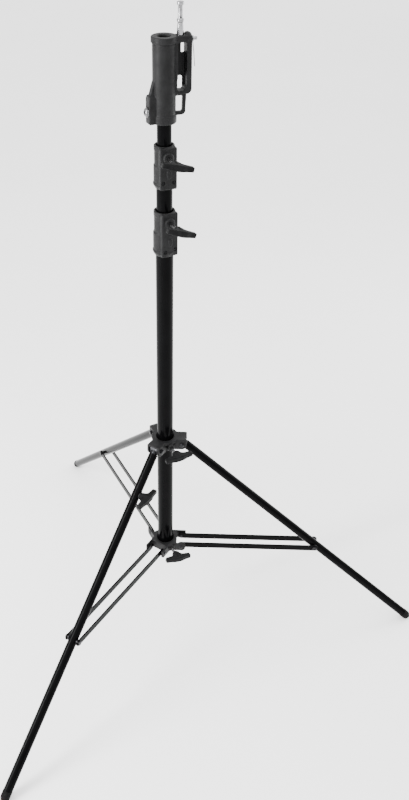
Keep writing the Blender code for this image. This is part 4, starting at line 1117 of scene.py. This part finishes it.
def lock_pin_clip(head):
    """The bent wire through the pin's eye, hanging down with a long tail."""
    curve = bpy.data.curves.new("lock_pin_clip", "CURVE")
    curve.dimensions = "3D"
    curve.bevel_depth = CLIP_WIRE_RADIUS
    curve.bevel_resolution = 6
    curve.use_fill_caps = True
    points = [(PIN_EYE_X, -0.0050, LOCK_PIN_HEIGHT), (PIN_EYE_X, 0.0050, LOCK_PIN_HEIGHT)]
    for turn in range(30, 181, 30):
        angle = math.radians(turn)
        points.append((PIN_EYE_X - 0.0030 * turn / 180,
                       0.0050 + CLIP_RING_RADIUS * math.sin(angle),
                       LOCK_PIN_HEIGHT - CLIP_RING_RADIUS * (1 - math.cos(angle))))
    end = Vector(points[-1])
    for tail in ((-0.0012, 0.0, -0.0030), (-0.0008, -0.0030, -0.0120),
                 (0.0005, -0.0035, -0.0300), (0.0018, -0.0035, -0.0480)):
        points.append((end.x + tail[0], tail[1], end.z + tail[2]))
    spline = curve.splines.new("POLY")
    spline.points.add(len(points) - 1)
    for target, point in zip(spline.points, points):
        target.co = (*point, 1.0)
    wire = bpy.data.objects.new("lock_pin_clip", curve)
    PIECES.objects.link(wire)
    wire.parent = head
    finish(wire, "chrome")


def build():
    axis = holder("column_axis", None, column_place())
    column_tubes(axis)
    tube_plugs(axis)
    for kind, data in CLAMPS.items():
        riser_clamp(kind, data, axis)
    upper_collar(axis)
    lower_collar(axis)
    collar_knobs(axis)
    plain_leg("right", axis)
    plain_leg("rear", axis)
    levelling_leg(axis)
    for leg in LEG_AZIMUTHS:
        brace_pair(leg, axis)
    head = holder("head_frame", axis, (0, 0, HEAD_BOTTOM))
    head_casting(head)
    baby_stud(head)
    stud_lock_pin(head)
    lock_pin_clip(head)


# ---- Floor, light and camera --------------------------------------------------------------
def floor():
    bpy.ops.mesh.primitive_plane_add(size=FLOOR_SIZE, location=(0, 0, 0))
    plane = bpy.context.object
    plane.name = "floor"
    pale = Coat("pale_floor", 0.9)
    tone = pale.spread(pale.noise(0.6), 0.3, 0.7)
    plane.data.materials.append(pale.done(pale.colours((0.86, 0.86, 0.86), (0.90, 0.90, 0.90),
                                                       tone)))


def soft_light(name, place, aim, size, power):
    lamp = bpy.data.lights.new(name, "AREA")
    lamp.shape = "RECTANGLE"
    lamp.size, lamp.size_y = size
    lamp.energy = power
    made = bpy.data.objects.new(name, lamp)
    bpy.context.scene.collection.objects.link(made)
    made.location = place
    made.rotation_euler = (Vector(aim) - Vector(place)).to_track_quat("-Z", "Y").to_euler()


def studio():
    """Soft light all round: a bright ceiling that falls off towards the horizon."""
    world = bpy.data.worlds.new("studio")
    bpy.context.scene.world = world
    world.use_nodes = True
    nodes, links = world.node_tree.nodes, world.node_tree.links
    sky = nodes["Background"]
    sky.inputs["Color"].default_value = (1.0, 1.0, 1.0, 1.0)
    where = nodes.new("ShaderNodeTexCoord")
    parts = nodes.new("ShaderNodeSeparateXYZ")
    fall = nodes.new("ShaderNodeMapRange")
    links.new(where.outputs["Generated"], parts.inputs["Vector"])
    links.new(parts.outputs["Z"], fall.inputs["Value"])
    set_range(fall, (0.0, 0.8, SKY_LOW, SKY_HIGH))
    links.new(fall.outputs["Result"], sky.inputs["Strength"])
    for name, (place, aim, size, power) in LIGHTS.items():
        soft_light(name, place, aim, size, power)


def photo_camera(axis):
    data = bpy.data.cameras.new("camera")
    data.lens = CAMERA_LENS
    data.sensor_width = 36.0
    data.sensor_fit = "AUTO"
    data.shift_x, data.shift_y = CAMERA_SHIFT
    data.clip_start, data.clip_end = 0.05, 100.0
    camera = bpy.data.objects.new("camera", data)
    bpy.context.scene.collection.objects.link(camera)
    turn = math.radians(CAMERA_AZIMUTH)
    camera.location = (axis[0] - CAMERA_REACH * math.sin(turn),
                       axis[1] - CAMERA_REACH * math.cos(turn), CAMERA_HEIGHT)
    level = Euler((math.pi / 2 - CAMERA_DIP, 0.0, -turn)).to_matrix()
    camera.rotation_euler = (level @ Matrix.Rotation(CAMERA_ROLL, 3, "Z")).to_euler()
    bpy.context.scene.camera = camera


build()
floor()
studio()
photo_camera(column_place())
